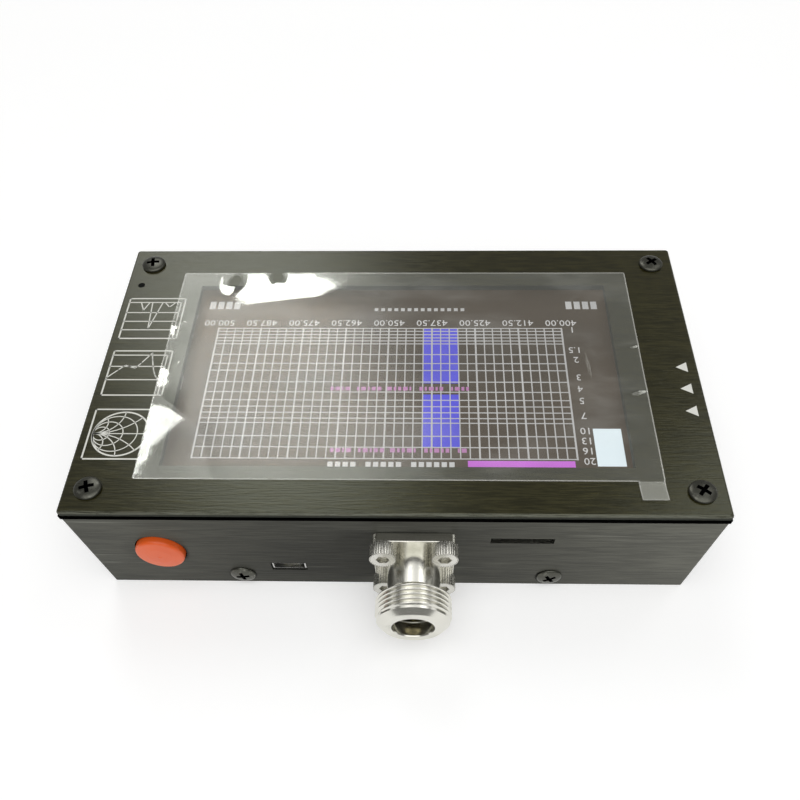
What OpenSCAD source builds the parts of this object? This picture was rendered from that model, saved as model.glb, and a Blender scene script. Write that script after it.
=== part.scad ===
// Handheld antenna analyzer: an aluminium case with a touch screen, a coaxial antenna socket,
// a latching power button, a charging socket and a memory-card slot.
// Origin: middle of the underside. +X: right across the screen. -Y: the side with the antenna socket. +Z: up.

/* [Case] */
// Distance from the display's left and right edges to the case's sides
side_room = 13.75; // [13:0.25:20]
// Distance from the display's near and far edges to the case's sides
end_room = 6.15; // [6:0.05:12]
// Thickness of the four walls
wall_t = 1.6; // [1.2:0.1:1.8]
// Radius of the case's upright corners
corner_r = 0.6; // [0.4:0.1:2]
// Thickness of the front plate
plate_t = 1.2; // [1:0.1:1.6]
// Rounding of the front plate's upper edge
plate_edge_r = 0.5; // [0.2:0.1:0.8]
// Thickness of the bottom cover
cover_t = 1.5; // [1.2:0.1:2]
// Gap all round the bottom cover
cover_gap = 0.15; // [0.1:0.05:0.3]
// Width of each upright tab of the bottom cover
tab_w = 12; // [8:1:14]
// Thickness of each upright tab of the bottom cover
tab_t = 2; // [1.5:0.1:2.4]
// Height of each tab above the bottom cover
tab_h = 5.5; // [5:0.1:5.8]

/* [Fasteners] */
// Thread diameter of every screw
screw_d = 3; // [2.5:0.1:3]
// Gap between a screw's thread and the thread it turns in
thread_gap = 0.05; // [0.03:0.01:0.1]
// Gap between a screw and the plain hole that it passes through
hole_gap = 0.15; // [0.1:0.05:0.3]
// Head diameter of the round-headed screws
pan_d = 5.6; // [5:0.1:6]
// Head height of the round-headed screws
pan_h = 1; // [0.8:0.1:1.5]
// Distance of the front plate's screws from the case's left and right sides
plate_screw_x_inset = 5.3; // [4.6:0.1:6]
// Distance of the front plate's screws from the case's near and far sides
plate_screw_y_inset = 5.75; // [4.6:0.05:6.5]
// Length of the front plate's screws under the head
plate_screw_l = 8; // [6:1:10]
// Metal left round each front plate screw on the side of the boards
post_rim = 3.2; // [2.5:0.1:3.4]
// Distance between the two cover screws of a side
cover_screw_spacing = 70; // [60:1:74]
// Height of the cover screws above the underside
cover_screw_z = 3.9; // [3.6:0.1:4.2]
// Length of the cover screws under the head
cover_screw_l = 6; // [5:1:6]
// Head diameter of the socket's cap screws
cap_d = 5.5; // [5:0.1:5.6]
// Head height of the socket's cap screws
cap_h = 3; // [2.5:0.1:3]
// Length of the socket's cap screws under the head
cap_screw_l = 7; // [6.5:0.5:7.5]
// Width of a nut or a spacer across its flats
hex_w = 5.5; // [5:0.1:5.6]
// Thickness of a nut
nut_t = 2.4; // [2:0.1:2.6]

/* [Display] */
// Width of the display's metal frame
lcd_w = 105.5; // [100:0.5:130]
// Depth of the display's metal frame
lcd_d = 67.2; // [62:0.2:80]
// Distance from the display's left and right edges to the window's edges
window_side = 4.25; // [3.8:0.05:5]
// Distance from the display's near and far edges to the window's edges
window_end = 6.35; // [4:0.05:8]
// Distance of the window's middle to the right of the case's middle
window_x = 0.5; // [-0.5:0.1:1]
// Distance of the window's middle behind the case's middle
window_y = -0.8; // [-1:0.1:0.5]
// Thickness of the tape that seals the touch panel to the front plate
gasket_t = 0.3; // [0.2:0.1:0.5]
// Distance from the window's edge to the tape
gasket_setback = 0.6; // [0.3:0.1:1.5]
// Distance from the display's edges to the touch panel's edges
touch_inset = 0.8; // [0:0.1:1.2]
// Thickness of the touch panel
touch_t = 1.2; // [1:0.1:1.4]
// Thickness of the display with its frame
lcd_t = 2.9; // [2.6:0.1:3.1]
// Sheet thickness of the display's frame
lcd_sheet_t = 0.4; // [0.3:0.1:0.5]
// Overlap of the frame on the display's glass, measured from the frame's outside
lcd_lip = 3.4; // [2:0.1:4]
// Thickness of the display's glass
lcd_cell_t = 1.1; // [0.8:0.1:1.2]
// Gap between the display's glass and its frame
lcd_gap = 0.2; // [0.1:0.05:0.3]
// Thickness of the foam tape under the display
lcd_tape_t = 1.2; // [0.8:0.1:1.4]
// Distance of the foam tape's edge from the edge of the display
lcd_tape_inset = 6; // [4:1:12]

/* [Film] */
// Overlap of the clear film on the front plate, left and right of the window
film_lap_side = 5.1; // [2:0.1:7]
// Overlap of the clear film on the front plate, near and far from the window
film_lap_end = 3.95; // [2:0.05:4.5]
// Thickness of the film
film_t = 0.2; // [0.15:0.05:0.3]
// Distance of the film's middle to the right of the window's middle
film_x = 0.3; // [0:0.1:0.6]
// Distance of the film's middle behind the window's middle
film_y = 0.5; // [0:0.1:0.8]
// Radius of the film's corners
film_corner_r = 1.5; // [0.5:0.1:3]
// Width of the film's pull tab
tab_film_w = 5.1; // [4:0.1:8]
// Length of the film's pull tab
tab_film_l = 4.8; // [3:0.1:5.2]
// Distance of the pull tab from the film's right edge
tab_film_inset = 1; // [1:0.1:10]

/* [Boards] */
// Thickness of the two circuit boards
board_t = 1.6; // [1.4:0.1:1.6]
// Gap between a board and the walls
board_gap = 1; // [0.6:0.1:1.2]
// Gap between a board and the posts, the nuts and the button
board_notch_gap = 0.6; // [0.4:0.1:0.8]
// Length of the spacers that carry the lower board
lower_spacer_l = 6.9; // [6.9:0.1:7.5]
// Length of the spacers between the boards
upper_spacer_l = 9.6; // [9:0.1:14]
// Distance of the spacers from the boards' left and right edges
spacer_side = 5.4; // [4.8:0.1:6]
// Distance of the spacers from the boards' near and far edges
spacer_end = 19.15; // [17:0.05:24]
// Length of the threaded studs under the upper spacers
stud_l = 5; // [4:0.5:5]
// Depth of the threaded holes in the spacers
spacer_hole_l = 6; // [5.5:0.1:6.5]
// Length of the screws that hold the upper board, under the head
board_screw_l = 6; // [5:1:6]
// Width of the charging socket
usb_w = 7.5; // [7:0.1:8]
// Length of the charging socket
usb_l = 6.5; // [6.2:0.1:7.5]
// Height of the charging socket
usb_h = 2.5; // [2.2:0.1:2.7]
// Gap between the charging socket and the bottom cover's tab beside it
usb_tab_gap = 1.45; // [0.5:0.05:6]
// Distance of the charging socket's front edge behind the wall's face
usb_setback = 0.3; // [0.1:0.1:1.4]
// Sheet thickness of the two sockets on the boards
socket_sheet_t = 0.3; // [0.2:0.05:0.4]
// Gap round the charging socket in the wall
usb_opening_gap = 0.25; // [0.1:0.05:0.4]
// Width of the memory-card socket
card_socket_w = 14.4; // [13.8:0.1:16]
// Length of the memory-card socket
card_socket_l = 14.5; // [12:0.5:16]
// Height of the memory-card socket
card_socket_h = 1.85; // [1.6:0.05:2.2]
// Distance of the memory-card socket to the right of the antenna socket
card_offset = 22.5; // [18:0.1:30]
// Overlap of the wall on the memory-card socket at each end of the slot
card_slot_lap = 0.6; // [0.3:0.1:1.2]
// Width of the shield can
shield_w = 34; // [28:1:44]
// Depth of the shield can
shield_d = 25; // [20:1:30]
// Height of the shield can
shield_h = 3.2; // [2.8:0.1:4]
// Sheet thickness of the shield can
shield_sheet_t = 0.3; // [0.2:0.05:0.5]
// Gap between the shield can and the strap in front of it
shield_gap = 1.6; // [0.8:0.1:4]
// Width of the processor
chip_w = 14; // [10:1:16]
// Height of the processor
chip_h = 1.4; // [1:0.1:2]
// Distance of the processor to the right of the case's middle
chip_x = 36; // [34:1:42]
// Radius of the charging light where it shows in the front plate
led_r = 0.75; // [0.6:0.05:1]
// Radius of the charging light's foot
led_foot_r = 1.4; // [1.2:0.1:1.5]
// Distance of the charging light from the left wall's inside
led_x_inset = 2; // [1.9:0.1:2.4]
// Gap between the charging light's foot and the post behind it
led_post_gap = 2.7; // [1:0.1:6]
// Gap round the charging light in the front plate
led_gap = 0.1; // [0.05:0.05:0.2]

/* [Battery] */
// Width of the battery pack
battery_w = 76; // [60:1:90]
// Depth of the battery pack
battery_d = 41; // [34:1:42]
// Thickness of the battery pack
battery_t = 5.5; // [4.5:0.1:5.7]
// Radius of the battery pack's long edges
battery_edge_r = 1.5; // [1:0.1:2]
// Thickness of the battery's foam tape
battery_tape_t = 0.5; // [0.3:0.1:0.6]
// Gap between the battery pack and the far cover screws
battery_screw_gap = 1.8; // [1:0.1:3]

/* [Power button] */
// Diameter of the button's cap
button_d = 10.2; // [8:0.1:11]
// Distance that the cap stands out of the wall when it is latched in
button_out = 1.8; // [1.4:0.1:3]
// Distance of the button from the case's left side
button_inset = 16.1; // [15.5:0.1:22]
// Gap between the cap and its hole
button_gap = 0.25; // [0.15:0.05:0.4]
// Rounding of the cap's edge
button_edge_r = 0.7; // [0.3:0.1:1]
// Rise of the cap's crown
button_crown = 0.25; // [0.1:0.05:0.5]
// Travel of the cap outward, when it unlatches
button_travel_out = 1.6; // [1:0.1:2]
// Travel of the cap inward, past the latched place
button_travel_in = 0.8; // [0.5:0.1:1.2]
// Length of the cap that stays behind the wall when it is all the way out
button_hold = 0.8; // [0.4:0.1:1.4]
// Width and height of the switch's body
switch_w = 8; // [7:0.1:8.4]
// Length of the switch's body
switch_l = 13; // [11:0.5:15]
// Width and height of the plunger
plunger_w = 3.2; // [2.6:0.1:4]
// Gap between the plunger and the switch's body
plunger_gap = 0.15; // [0.1:0.05:0.3]
// Length of the plunger inside the cap
plunger_grip = 2.4; // [1.5:0.1:3]
// Length of the plunger inside the switch's body when it is latched
plunger_in = 6; // [4:0.5:8]

/* [Antenna socket] */
// Distance of the socket's axis to the right of the case's middle
socket_x = 4.4; // [0:0.1:8]
// Height of the socket's axis above the underside
socket_z = 13.1; // [13:0.1:13.8]
// Metal of the flange outside its screws' middles
flange_rim = 2.25; // [2:0.05:2.5]
// Radius of the flange's corners
flange_corner_r = 1.4; // [1:0.1:2]
// Thickness of the flange
flange_t = 2.2; // [1.8:0.1:2.8]
// Distance between the flange's screws
flange_screw_spacing = 12.7; // [12:0.05:13.4]
// Gap between the socket's neck and the cap screws' heads
neck_gap = 0.63; // [0.3:0.01:1]
// Distance from the wall to the start of the thread
thread_start = 12.2; // [11:0.1:13]
// Outer radius of the thread
thread_r = 7.94; // [7.8:0.02:8]
// Length of the threaded part
thread_l = 3.7; // [3:0.1:4.5]
// Length of the taper in front of the thread
nose_l = 1.7; // [1:0.1:2.5]
// Difference in radius between the thread and the socket's mouth
nose_step = 1.34; // [0.8:0.02:1.8]
// Difference in radius between the mouth's wider opening and the bore
mouth_step = 0.31; // [0.1:0.01:0.5]
// Depth of the mouth's wider opening
mouth_l = 3.2; // [2:0.1:4]
// Radius of the socket's bore
bore_r = 4.06; // [4:0.01:4.15]
// Distance from the wall to the face of the insulator in the bore
bead_out = 6; // [4:0.1:8]
// Gap between the insulator and the bore
bead_gap = 0.03; // [0.02:0.01:0.06]
// Gap between the boss behind the flange and the nuts
boss_nut_gap = 0.8; // [0.4:0.05:1.2]
// Wall of the boss
boss_wall = 1.2; // [0.8:0.1:1.6]
// Length of the boss behind the flange
boss_l = 3.4; // [2.6:0.1:4]
// Gap round the boss in the wall
boss_gap = 0.1; // [0.05:0.05:0.3]
// Radius of the centre contact
contact_r = 1.52; // [1.4:0.01:1.6]
// Radius of the hole in the centre contact
contact_hole_r = 0.83; // [0.8:0.01:0.9]
// Depth of the hole in the centre contact
contact_hole_l = 6; // [4:0.5:7]
// Distance of the centre contact's tip inside the mouth
contact_recess = 3.2; // [2.6:0.1:5]
// Width of the slots in the centre contact
contact_slot_w = 0.35; // [0.2:0.05:0.5]
// Radius of the contact's rear pin
pin_r = 0.65; // [0.5:0.05:0.8]
// Distance of the rear pin's end behind the boards' notch
pin_setback = 3; // [2.4:0.1:5]
// Thickness of the strap that joins the rear pin to the lower board
strap_t = 0.5; // [0.3:0.1:0.8]
// Width of the strap
strap_w = 2.4; // [1.6:0.1:3]

/* [Hidden] */
$fn = 48;
QUADRANTS = [[-1, -1], [1, -1], [1, 1], [-1, 1]];
eps = 0.01;
cut = 1;
corner_steps = 6;
arc_steps = 5;

// Outer sizes, from the display outwards and from the underside up
case_w = lcd_w + 2 * side_room;
case_d = lcd_d + 2 * end_room;
stack_h = cover_t + lower_spacer_l + board_t + upper_spacer_l + board_t;
case_h = stack_h + lcd_tape_t + lcd_t + touch_t + gasket_t + plate_t;
window_w = lcd_w - 2 * window_side;
window_d = lcd_d - 2 * window_end;
touch_w = lcd_w - 2 * touch_inset;
touch_d = lcd_d - 2 * touch_inset;
film_w = window_w + 2 * film_lap_side;
film_d = window_d + 2 * film_lap_end;

// Places across the case
near_y = -case_d / 2;
near_in = near_y + wall_t;
inner_w = case_w - 2 * wall_t;
inner_d = case_d - 2 * wall_t;
plate_screw_x = case_w / 2 - plate_screw_x_inset;
plate_screw_y = case_d / 2 - plate_screw_y_inset;
post_w = plate_screw_x_inset - wall_t + post_rim;
post_d = plate_screw_y_inset - wall_t + post_rim;
board_w = inner_w - 2 * board_gap;
board_d = inner_d - 2 * board_gap;
spacer_x = board_w / 2 - spacer_side;
spacer_y = board_d / 2 - spacer_end;
led_x = -inner_w / 2 + led_x_inset;
led_y = inner_d / 2 - post_d - led_post_gap - led_foot_r;
battery_y = case_d / 2 - cover_screw_l - battery_screw_gap - battery_d / 2;
button_x = case_w / 2 - button_inset;
usb_x = cover_screw_spacing / 2 - tab_w / 2 - usb_tab_gap - usb_w / 2;
card_x = socket_x + card_offset;
card_slot_w = card_socket_w - 2 * card_slot_lap;
button_r = button_d / 2;
usb_front = near_y + usb_setback;
card_front = near_in + socket_sheet_t / 2;

// Heights, from the underside up
battery_z = cover_t + battery_tape_t;
lower_board_z = cover_t + lower_spacer_l;
lower_board_top = lower_board_z + board_t;
usb_z = lower_board_z - usb_h / 2;
button_z = lower_board_top + switch_w / 2;

// Heights, from the top down
plate_z = case_h - plate_t;
touch_top = plate_z - gasket_t;
touch_z = touch_top - touch_t;
lcd_z = touch_z - lcd_t;
upper_board_top = lcd_z - lcd_tape_t;
upper_board_z = upper_board_top - board_t;
card_z = upper_board_z - card_socket_h / 2;

// The button and its switch
cap_l = button_out + wall_t + button_travel_out + button_hold;
cap_rear_y = near_y - button_out + cap_l;
switch_y = cap_rear_y + button_travel_in + button_gap;
button_notch_y = switch_y - button_gap;
plunger_l = plunger_grip + (switch_y - cap_rear_y) + plunger_in;

// The antenna socket: radii, then distances out of the wall
flange_w = flange_screw_spacing + 2 * flange_rim;
flange_screw_r = flange_screw_spacing / sqrt(2);
neck_r = flange_screw_r - cap_d / 2 - neck_gap;
boss_r = flange_screw_r - hex_w / sqrt(3) - boss_nut_gap;
boss_bore_r = boss_r - boss_wall;
nose_r = thread_r - nose_step;
mouth_r = bore_r + mouth_step;
socket_l = thread_start + thread_l + nose_l;
contact_tip = socket_l - contact_recess;
nut_notch_r = flange_screw_spacing / 2 + hex_w / sqrt(3) + board_notch_gap;
nut_notch_y = near_y + cap_screw_l - flange_t + board_notch_gap;
pin_end_y = nut_notch_y + pin_setback;

// ---- Helpers ----

// Corner points of a rectangle with rounded corners, counter-clockwise
function rounded_rect(w, d, r) = [
    for (q = [0:3], i = [0:corner_steps])
        let (
            sx = (q == 0 || q == 3) ? 1 : -1,
            sy = (q < 2) ? 1 : -1,
            a = q * 90 + i * 90 / corner_steps
        )
        [sx * (w / 2 - r) + r * cos(a), sy * (d / 2 - r) + r * sin(a)]
];

// Quarter arc round a centre, from one angle to another
function arc(cx, cy, rx, ry, from, to) = [
    for (i = [0:arc_steps])
        let (a = from + (to - from) * i / arc_steps)
        [cx + rx * cos(a), cy + ry * sin(a)]
];

// Box centred in X and Y, standing on its place
module block(w, d, h) {
    translate([-w / 2, -d / 2, 0])
        cube([w, d, h]);
}

// Turns what points up so that it points into the case, through the near wall
module inward(x, y, z) {
    translate([x, y, z])
        rotate([-90, 0, 0])
            children();
}

// Turns what points up so that it points out of the near wall
module outward(x, y, z) {
    translate([x, y, z])
        rotate([90, 0, 0])
            children();
}

// Hexagonal prism, measured across its flats
module hex(h) {
    cylinder(h = h, r = hex_w / sqrt(3), $fn = 6);
}

// Round-headed screw with its head above the origin and its thread below
module pan_screw(length) {
    side_h = pan_h * 0.4;
    rotate_extrude()
        polygon(concat([[0, 0]], arc(0, side_h, pan_d / 2, pan_h - side_h, 0, 90), [[0, pan_h]], [[0, 0]]));
    rotate_extrude()
        polygon([[0, 0], [pan_d / 2, 0], [pan_d / 2, side_h], [0, side_h]]);
    translate([0, 0, -length])
        cylinder(h = length + eps, d = screw_d - 2 * thread_gap);
}

// Cap screw with a hexagonal recess, its head above the origin and its thread below
module cap_screw(length) {
    recess_d = 2.5;
    recess_l = 1.6;
    difference() {
        union() {
            cylinder(h = cap_h, d = cap_d);
            translate([0, 0, -length])
                cylinder(h = length + eps, d = screw_d - 2 * thread_gap);
        }
        translate([0, 0, cap_h - recess_l])
            cylinder(h = recess_l + cut, d = recess_d * 2 / sqrt(3), $fn = 6);
    }
}

// Places of the screws in the antenna socket's flange
module at_flange_screw(i) {
    x = socket_x + QUADRANTS[i - 1][0] * flange_screw_spacing / 2;
    z = socket_z + QUADRANTS[i - 1][1] * flange_screw_spacing / 2;
    translate([x, 0, z])
        children();
}

// Places of the spacers between the boards
module at_spacer(i) {
    translate([QUADRANTS[i - 1][0] * spacer_x, QUADRANTS[i - 1][1] * spacer_y, 0])
        children();
}

// Turns a part on the near side to the far side for the third and fourth places
module at_cover_screw(i) {
    x = QUADRANTS[i - 1][0] * cover_screw_spacing / 2;
    turn = QUADRANTS[i - 1][1] < 0 ? 0 : 180;
    translate([x, 0, 0])
        rotate([0, 0, turn])
            children();
}

// Outline of a circuit board, clear of the four posts, the antenna socket's nuts and the button
module board_outline() {
    notch_w = post_w - board_gap + board_notch_gap;
    notch_d = post_d - board_gap + board_notch_gap;
    button_side_w = inner_w / 2 - button_x + button_r + board_notch_gap;
    difference() {
        square([board_w, board_d], center = true);
        for (q = QUADRANTS)
            translate([q[0] * (board_w - notch_w) / 2, q[1] * (board_d - notch_d) / 2])
                square([notch_w + eps, notch_d + eps], center = true);
        translate([socket_x - nut_notch_r, near_y])
            square([2 * nut_notch_r, nut_notch_y - near_y]);
        translate([-inner_w / 2, near_y])
            square([button_side_w, button_notch_y - near_y]);
    }
}

// ---- Case ----

module front_plate() {
    color("#1d1f1d")
        difference() {
            translate([0, 0, plate_z])
                hull() {
                    linear_extrude(plate_t - plate_edge_r)
                        polygon(rounded_rect(case_w, case_d, corner_r));
                    for (a = [30, 60, 90]) {
                        inset = plate_edge_r * (1 - cos(a));
                        level = plate_t - plate_edge_r + plate_edge_r * sin(a);
                        translate([0, 0, level - eps])
                            linear_extrude(eps)
                                polygon(rounded_rect(case_w - 2 * inset, case_d - 2 * inset, corner_r));
                    }
                }
            translate([window_x, window_y, plate_z - cut])
                block(window_w, window_d, plate_t + 2 * cut);
            for (q = QUADRANTS)
                translate([q[0] * plate_screw_x, q[1] * plate_screw_y, plate_z - cut])
                    cylinder(h = plate_t + 2 * cut, d = screw_d + 2 * hole_gap);
            translate([led_x, led_y, plate_z - cut])
                cylinder(h = plate_t + 2 * cut, r = led_r + led_gap);
        }
}

// Walls with the posts for the front plate's screws
module wall_ring() {
    difference() {
        linear_extrude(plate_z)
            polygon(rounded_rect(case_w, case_d, corner_r));
        translate([0, 0, -cut])
            block(inner_w, inner_d, plate_z + 2 * cut);
    }
    for (q = QUADRANTS)
        translate([q[0] * (inner_w - post_w + wall_t / 2) / 2, q[1] * (inner_d - post_d + wall_t / 2) / 2, cover_t])
            block(post_w + wall_t / 2, post_d + wall_t / 2, plate_z - cover_t);
}

// Holes in the near wall for the antenna socket and its screws
module socket_holes() {
    inward(socket_x, near_y - cut, socket_z)
        cylinder(h = wall_t + 2 * cut, r = boss_r + boss_gap);
    for (i = [1:4])
        at_flange_screw(i)
            inward(0, near_y - cut, 0)
                cylinder(h = wall_t + 2 * cut, d = screw_d + 2 * hole_gap);
}

module case_body() {
    usb_cut_w = usb_w + 2 * usb_opening_gap;
    usb_cut_h = usb_h + 2 * usb_opening_gap;
    color("#2b2d2b")
        difference() {
            wall_ring();
            for (q = QUADRANTS)
                translate([q[0] * plate_screw_x, q[1] * plate_screw_y, plate_z - plate_screw_l])
                    cylinder(h = plate_screw_l + cut, d = screw_d);
            inward(-button_x, near_y - cut, button_z)
                cylinder(h = wall_t + 2 * cut, r = button_r + button_gap);
            translate([-usb_x - usb_cut_w / 2, near_y - cut, usb_z - usb_cut_h / 2])
                cube([usb_cut_w, wall_t + 2 * cut, usb_cut_h]);
            translate([card_x - card_slot_w / 2, near_y - cut, card_z - card_socket_h / 2])
                cube([card_slot_w, wall_t + 2 * cut, card_socket_h]);
            socket_holes();
            for (i = [1:4])
                at_cover_screw(i)
                    inward(0, near_y - cut, cover_screw_z)
                        cylinder(h = wall_t + 2 * cut, d = screw_d + 2 * hole_gap);
        }
}

module bottom_cover() {
    tab_y = near_in + cover_gap;
    color("#2b2d2b")
        difference() {
            union() {
                block(inner_w - 2 * cover_gap, inner_d - 2 * cover_gap, cover_t);
                for (i = [1:4])
                    at_cover_screw(i)
                        translate([-tab_w / 2, tab_y, 0])
                            cube([tab_w, tab_t, cover_t + tab_h]);
            }
            for (i = [1:4])
                at_cover_screw(i)
                    inward(0, tab_y - cut, cover_screw_z)
                        cylinder(h = tab_t + 2 * cut, d = screw_d);
        }
}

module plate_screw(i) {
    color("#141414")
        translate([QUADRANTS[i - 1][0] * plate_screw_x, QUADRANTS[i - 1][1] * plate_screw_y, case_h])
            pan_screw(plate_screw_l);
}

module cover_screw(i) {
    color("#141414")
        at_cover_screw(i)
            outward(0, near_y, cover_screw_z)
                pan_screw(cover_screw_l);
}

// ---- Display ----

module display_gasket() {
    color("#101010")
        translate([window_x, window_y, touch_top])
            difference() {
                block(touch_w, touch_d, gasket_t);
                translate([0, 0, -cut])
                    block(window_w + 2 * gasket_setback, window_d + 2 * gasket_setback, gasket_t + 2 * cut);
            }
}

module touch_panel() {
    color("#5d6152")
        translate([window_x, window_y, touch_z])
            block(touch_w, touch_d, touch_t);
}

// Sheet-metal tray with a lip round the display's glass
module display_frame() {
    color("#c9c9c4")
        translate([window_x, window_y, lcd_z])
            difference() {
                block(lcd_w, lcd_d, lcd_t);
                translate([0, 0, lcd_sheet_t])
                    block(lcd_w - 2 * lcd_sheet_t, lcd_d - 2 * lcd_sheet_t, lcd_t - 2 * lcd_sheet_t);
                translate([0, 0, lcd_sheet_t])
                    block(lcd_w - 2 * lcd_lip, lcd_d - 2 * lcd_lip, lcd_t);
            }
}

module display_cell() {
    inset = lcd_sheet_t + lcd_gap;
    color("#3f4438")
        translate([window_x, window_y, touch_z - lcd_sheet_t - lcd_cell_t])
            block(lcd_w - 2 * inset, lcd_d - 2 * inset, lcd_cell_t);
}

module display_light_guide() {
    inset = lcd_sheet_t + lcd_gap;
    color("#f2f2ec")
        translate([window_x, window_y, lcd_z + lcd_sheet_t])
            block(lcd_w - 2 * inset, lcd_d - 2 * inset, lcd_t - 2 * lcd_sheet_t - lcd_cell_t);
}

module display_tape() {
    color("#e6e6e0")
        translate([window_x, window_y, upper_board_top])
            block(lcd_w - 2 * lcd_tape_inset, lcd_d - 2 * lcd_tape_inset, lcd_tape_t);
}

module screen_film() {
    color("#d8dcd6", 0.35)
        translate([window_x + film_x, window_y + film_y, case_h])
            union() {
                linear_extrude(film_t)
                    polygon(rounded_rect(film_w, film_d, film_corner_r));
                translate([film_w / 2 - tab_film_inset - tab_film_w, -film_d / 2 - tab_film_l, 0])
                    cube([tab_film_w, tab_film_l + film_corner_r, film_t]);
            }
}

// ---- Boards ----

// Circuit board with its holes, standing on its place
module board() {
    difference() {
        linear_extrude(board_t)
            board_outline();
        for (i = [1:4])
            at_spacer(i)
                translate([0, 0, -cut])
                    cylinder(h = board_t + 2 * cut, d = screw_d + 2 * hole_gap);
    }
}

module display_board() {
    color("#1d5a34")
        translate([0, 0, upper_board_z])
            board();
}

module main_board() {
    color("#1d5a34")
        translate([0, 0, lower_board_z])
            board();
}

// Open-ended metal shell of a socket on a board, with the tongue inside it
module socket_shell(w, l, h, tongue_w) {
    tongue_t = h * 0.25;
    difference() {
        translate([-w / 2, 0, -h / 2])
            cube([w, l, h]);
        translate([-w / 2 + socket_sheet_t, -cut, -h / 2 + socket_sheet_t])
            cube([w - 2 * socket_sheet_t, l - socket_sheet_t + cut, h - 2 * socket_sheet_t]);
    }
    translate([-tongue_w / 2, l * 0.3, h / 2 - socket_sheet_t - tongue_t])
        cube([tongue_w, l * 0.7, tongue_t]);
}

module usb_socket() {
    color("#b9bab6")
        translate([-usb_x, usb_front, usb_z])
            socket_shell(usb_w, usb_l, usb_h, usb_w * 0.5);
}

module card_socket() {
    color("#b9bab6")
        translate([card_x, card_front, card_z])
            socket_shell(card_socket_w, card_socket_l, card_socket_h, card_socket_w * 0.7);
}

module charge_led() {
    color("#e8efe8")
        translate([led_x, led_y, 0])
            union() {
                translate([0, 0, upper_board_top])
                    cylinder(h = touch_top - upper_board_top, r = led_foot_r);
                translate([0, 0, touch_top - eps])
                    cylinder(h = case_h - touch_top, r = led_r);
            }
}

module rf_shield() {
    color("#c4c6c2")
        translate([socket_x, pin_end_y + shield_gap + shield_d / 2, lower_board_top])
            difference() {
                block(shield_w, shield_d, shield_h);
                translate([0, 0, -cut])
                    block(shield_w - 2 * shield_sheet_t, shield_d - 2 * shield_sheet_t, shield_h - shield_sheet_t + cut);
            }
}

module processor_chip() {
    color("#202224")
        translate([chip_x, 0, lower_board_top])
            block(chip_w, chip_w, chip_h);
}

module lower_spacer(i) {
    color("#c9a94a")
        at_spacer(i)
            translate([0, 0, cover_t])
                difference() {
                    hex(lower_spacer_l);
                    translate([0, 0, lower_spacer_l - spacer_hole_l])
                        cylinder(h = spacer_hole_l + cut, d = screw_d);
                }
}

module upper_spacer(i) {
    color("#c9a94a")
        at_spacer(i)
            translate([0, 0, lower_board_top])
                union() {
                    difference() {
                        hex(upper_spacer_l);
                        translate([0, 0, upper_spacer_l - spacer_hole_l])
                            cylinder(h = spacer_hole_l + cut, d = screw_d);
                    }
                    translate([0, 0, -stud_l])
                        cylinder(h = stud_l + eps, d = screw_d - 2 * thread_gap);
                }
}

module board_screw(i) {
    color("#c4c6c2")
        at_spacer(i)
            translate([0, 0, upper_board_top])
                pan_screw(board_screw_l);
}

// ---- Battery ----

module battery_tape() {
    color("#e6e6e0")
        translate([0, battery_y, cover_t])
            block(battery_w - 4 * battery_edge_r, battery_d - 4 * battery_edge_r, battery_tape_t);
}

// Flat pack with round long edges
module battery_pack() {
    color("#b7bcc2")
        translate([0, battery_y, battery_z])
            translate([-battery_w / 2, 0, battery_t / 2])
                rotate([90, 0, 90])
                    linear_extrude(battery_w)
                        polygon(rounded_rect(battery_d, battery_t, battery_edge_r));
}

// ---- Power button ----

module power_switch() {
    channel = plunger_w + 2 * plunger_gap;
    color("#2f6fb0")
        translate([-button_x, switch_y, button_z])
            difference() {
                translate([-switch_w / 2, 0, -switch_w / 2])
                    cube([switch_w, switch_l, switch_w]);
                translate([-channel / 2, -cut, -channel / 2])
                    cube([channel, plunger_in + button_travel_in + plunger_gap + cut, channel]);
            }
}

module switch_plunger() {
    color("#e9e9e4")
        translate([-button_x - plunger_w / 2, cap_rear_y - plunger_grip, button_z - plunger_w / 2])
            cube([plunger_w, plunger_l, plunger_w]);
}

module power_button() {
    r = button_r;
    e = button_edge_r;
    l = cap_l;
    color("#d8391f")
        difference() {
            inward(-button_x, cap_rear_y, button_z)
                mirror([0, 0, 1])
                    rotate_extrude()
                        polygon(concat(
                            [[0, 0], [r, 0]],
                            arc(r - e, l - button_crown - e, e, e, 0, 90),
                            [[r * 0.5, l - button_crown * 0.3], [0, l]]
                        ));
            translate([-button_x - plunger_w / 2, cap_rear_y - plunger_grip, button_z - plunger_w / 2])
                cube([plunger_w, plunger_grip + cut, plunger_w]);
        }
}

// ---- Antenna socket ----

// Turned body on a square flange, drawn with its axis up and the wall at the origin
module socket_profile() {
    relief = 0.5;
    rotate_extrude($fn = 96)
        polygon([
            [0, 0],
            [neck_r, 0],
            [neck_r, thread_start],
            [thread_r - relief, thread_start],
            [thread_r, thread_start + relief],
            [thread_r, thread_start + thread_l],
            [nose_r + relief, socket_l - relief],
            [nose_r, socket_l],
            [0, socket_l]
        ]);
}

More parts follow.
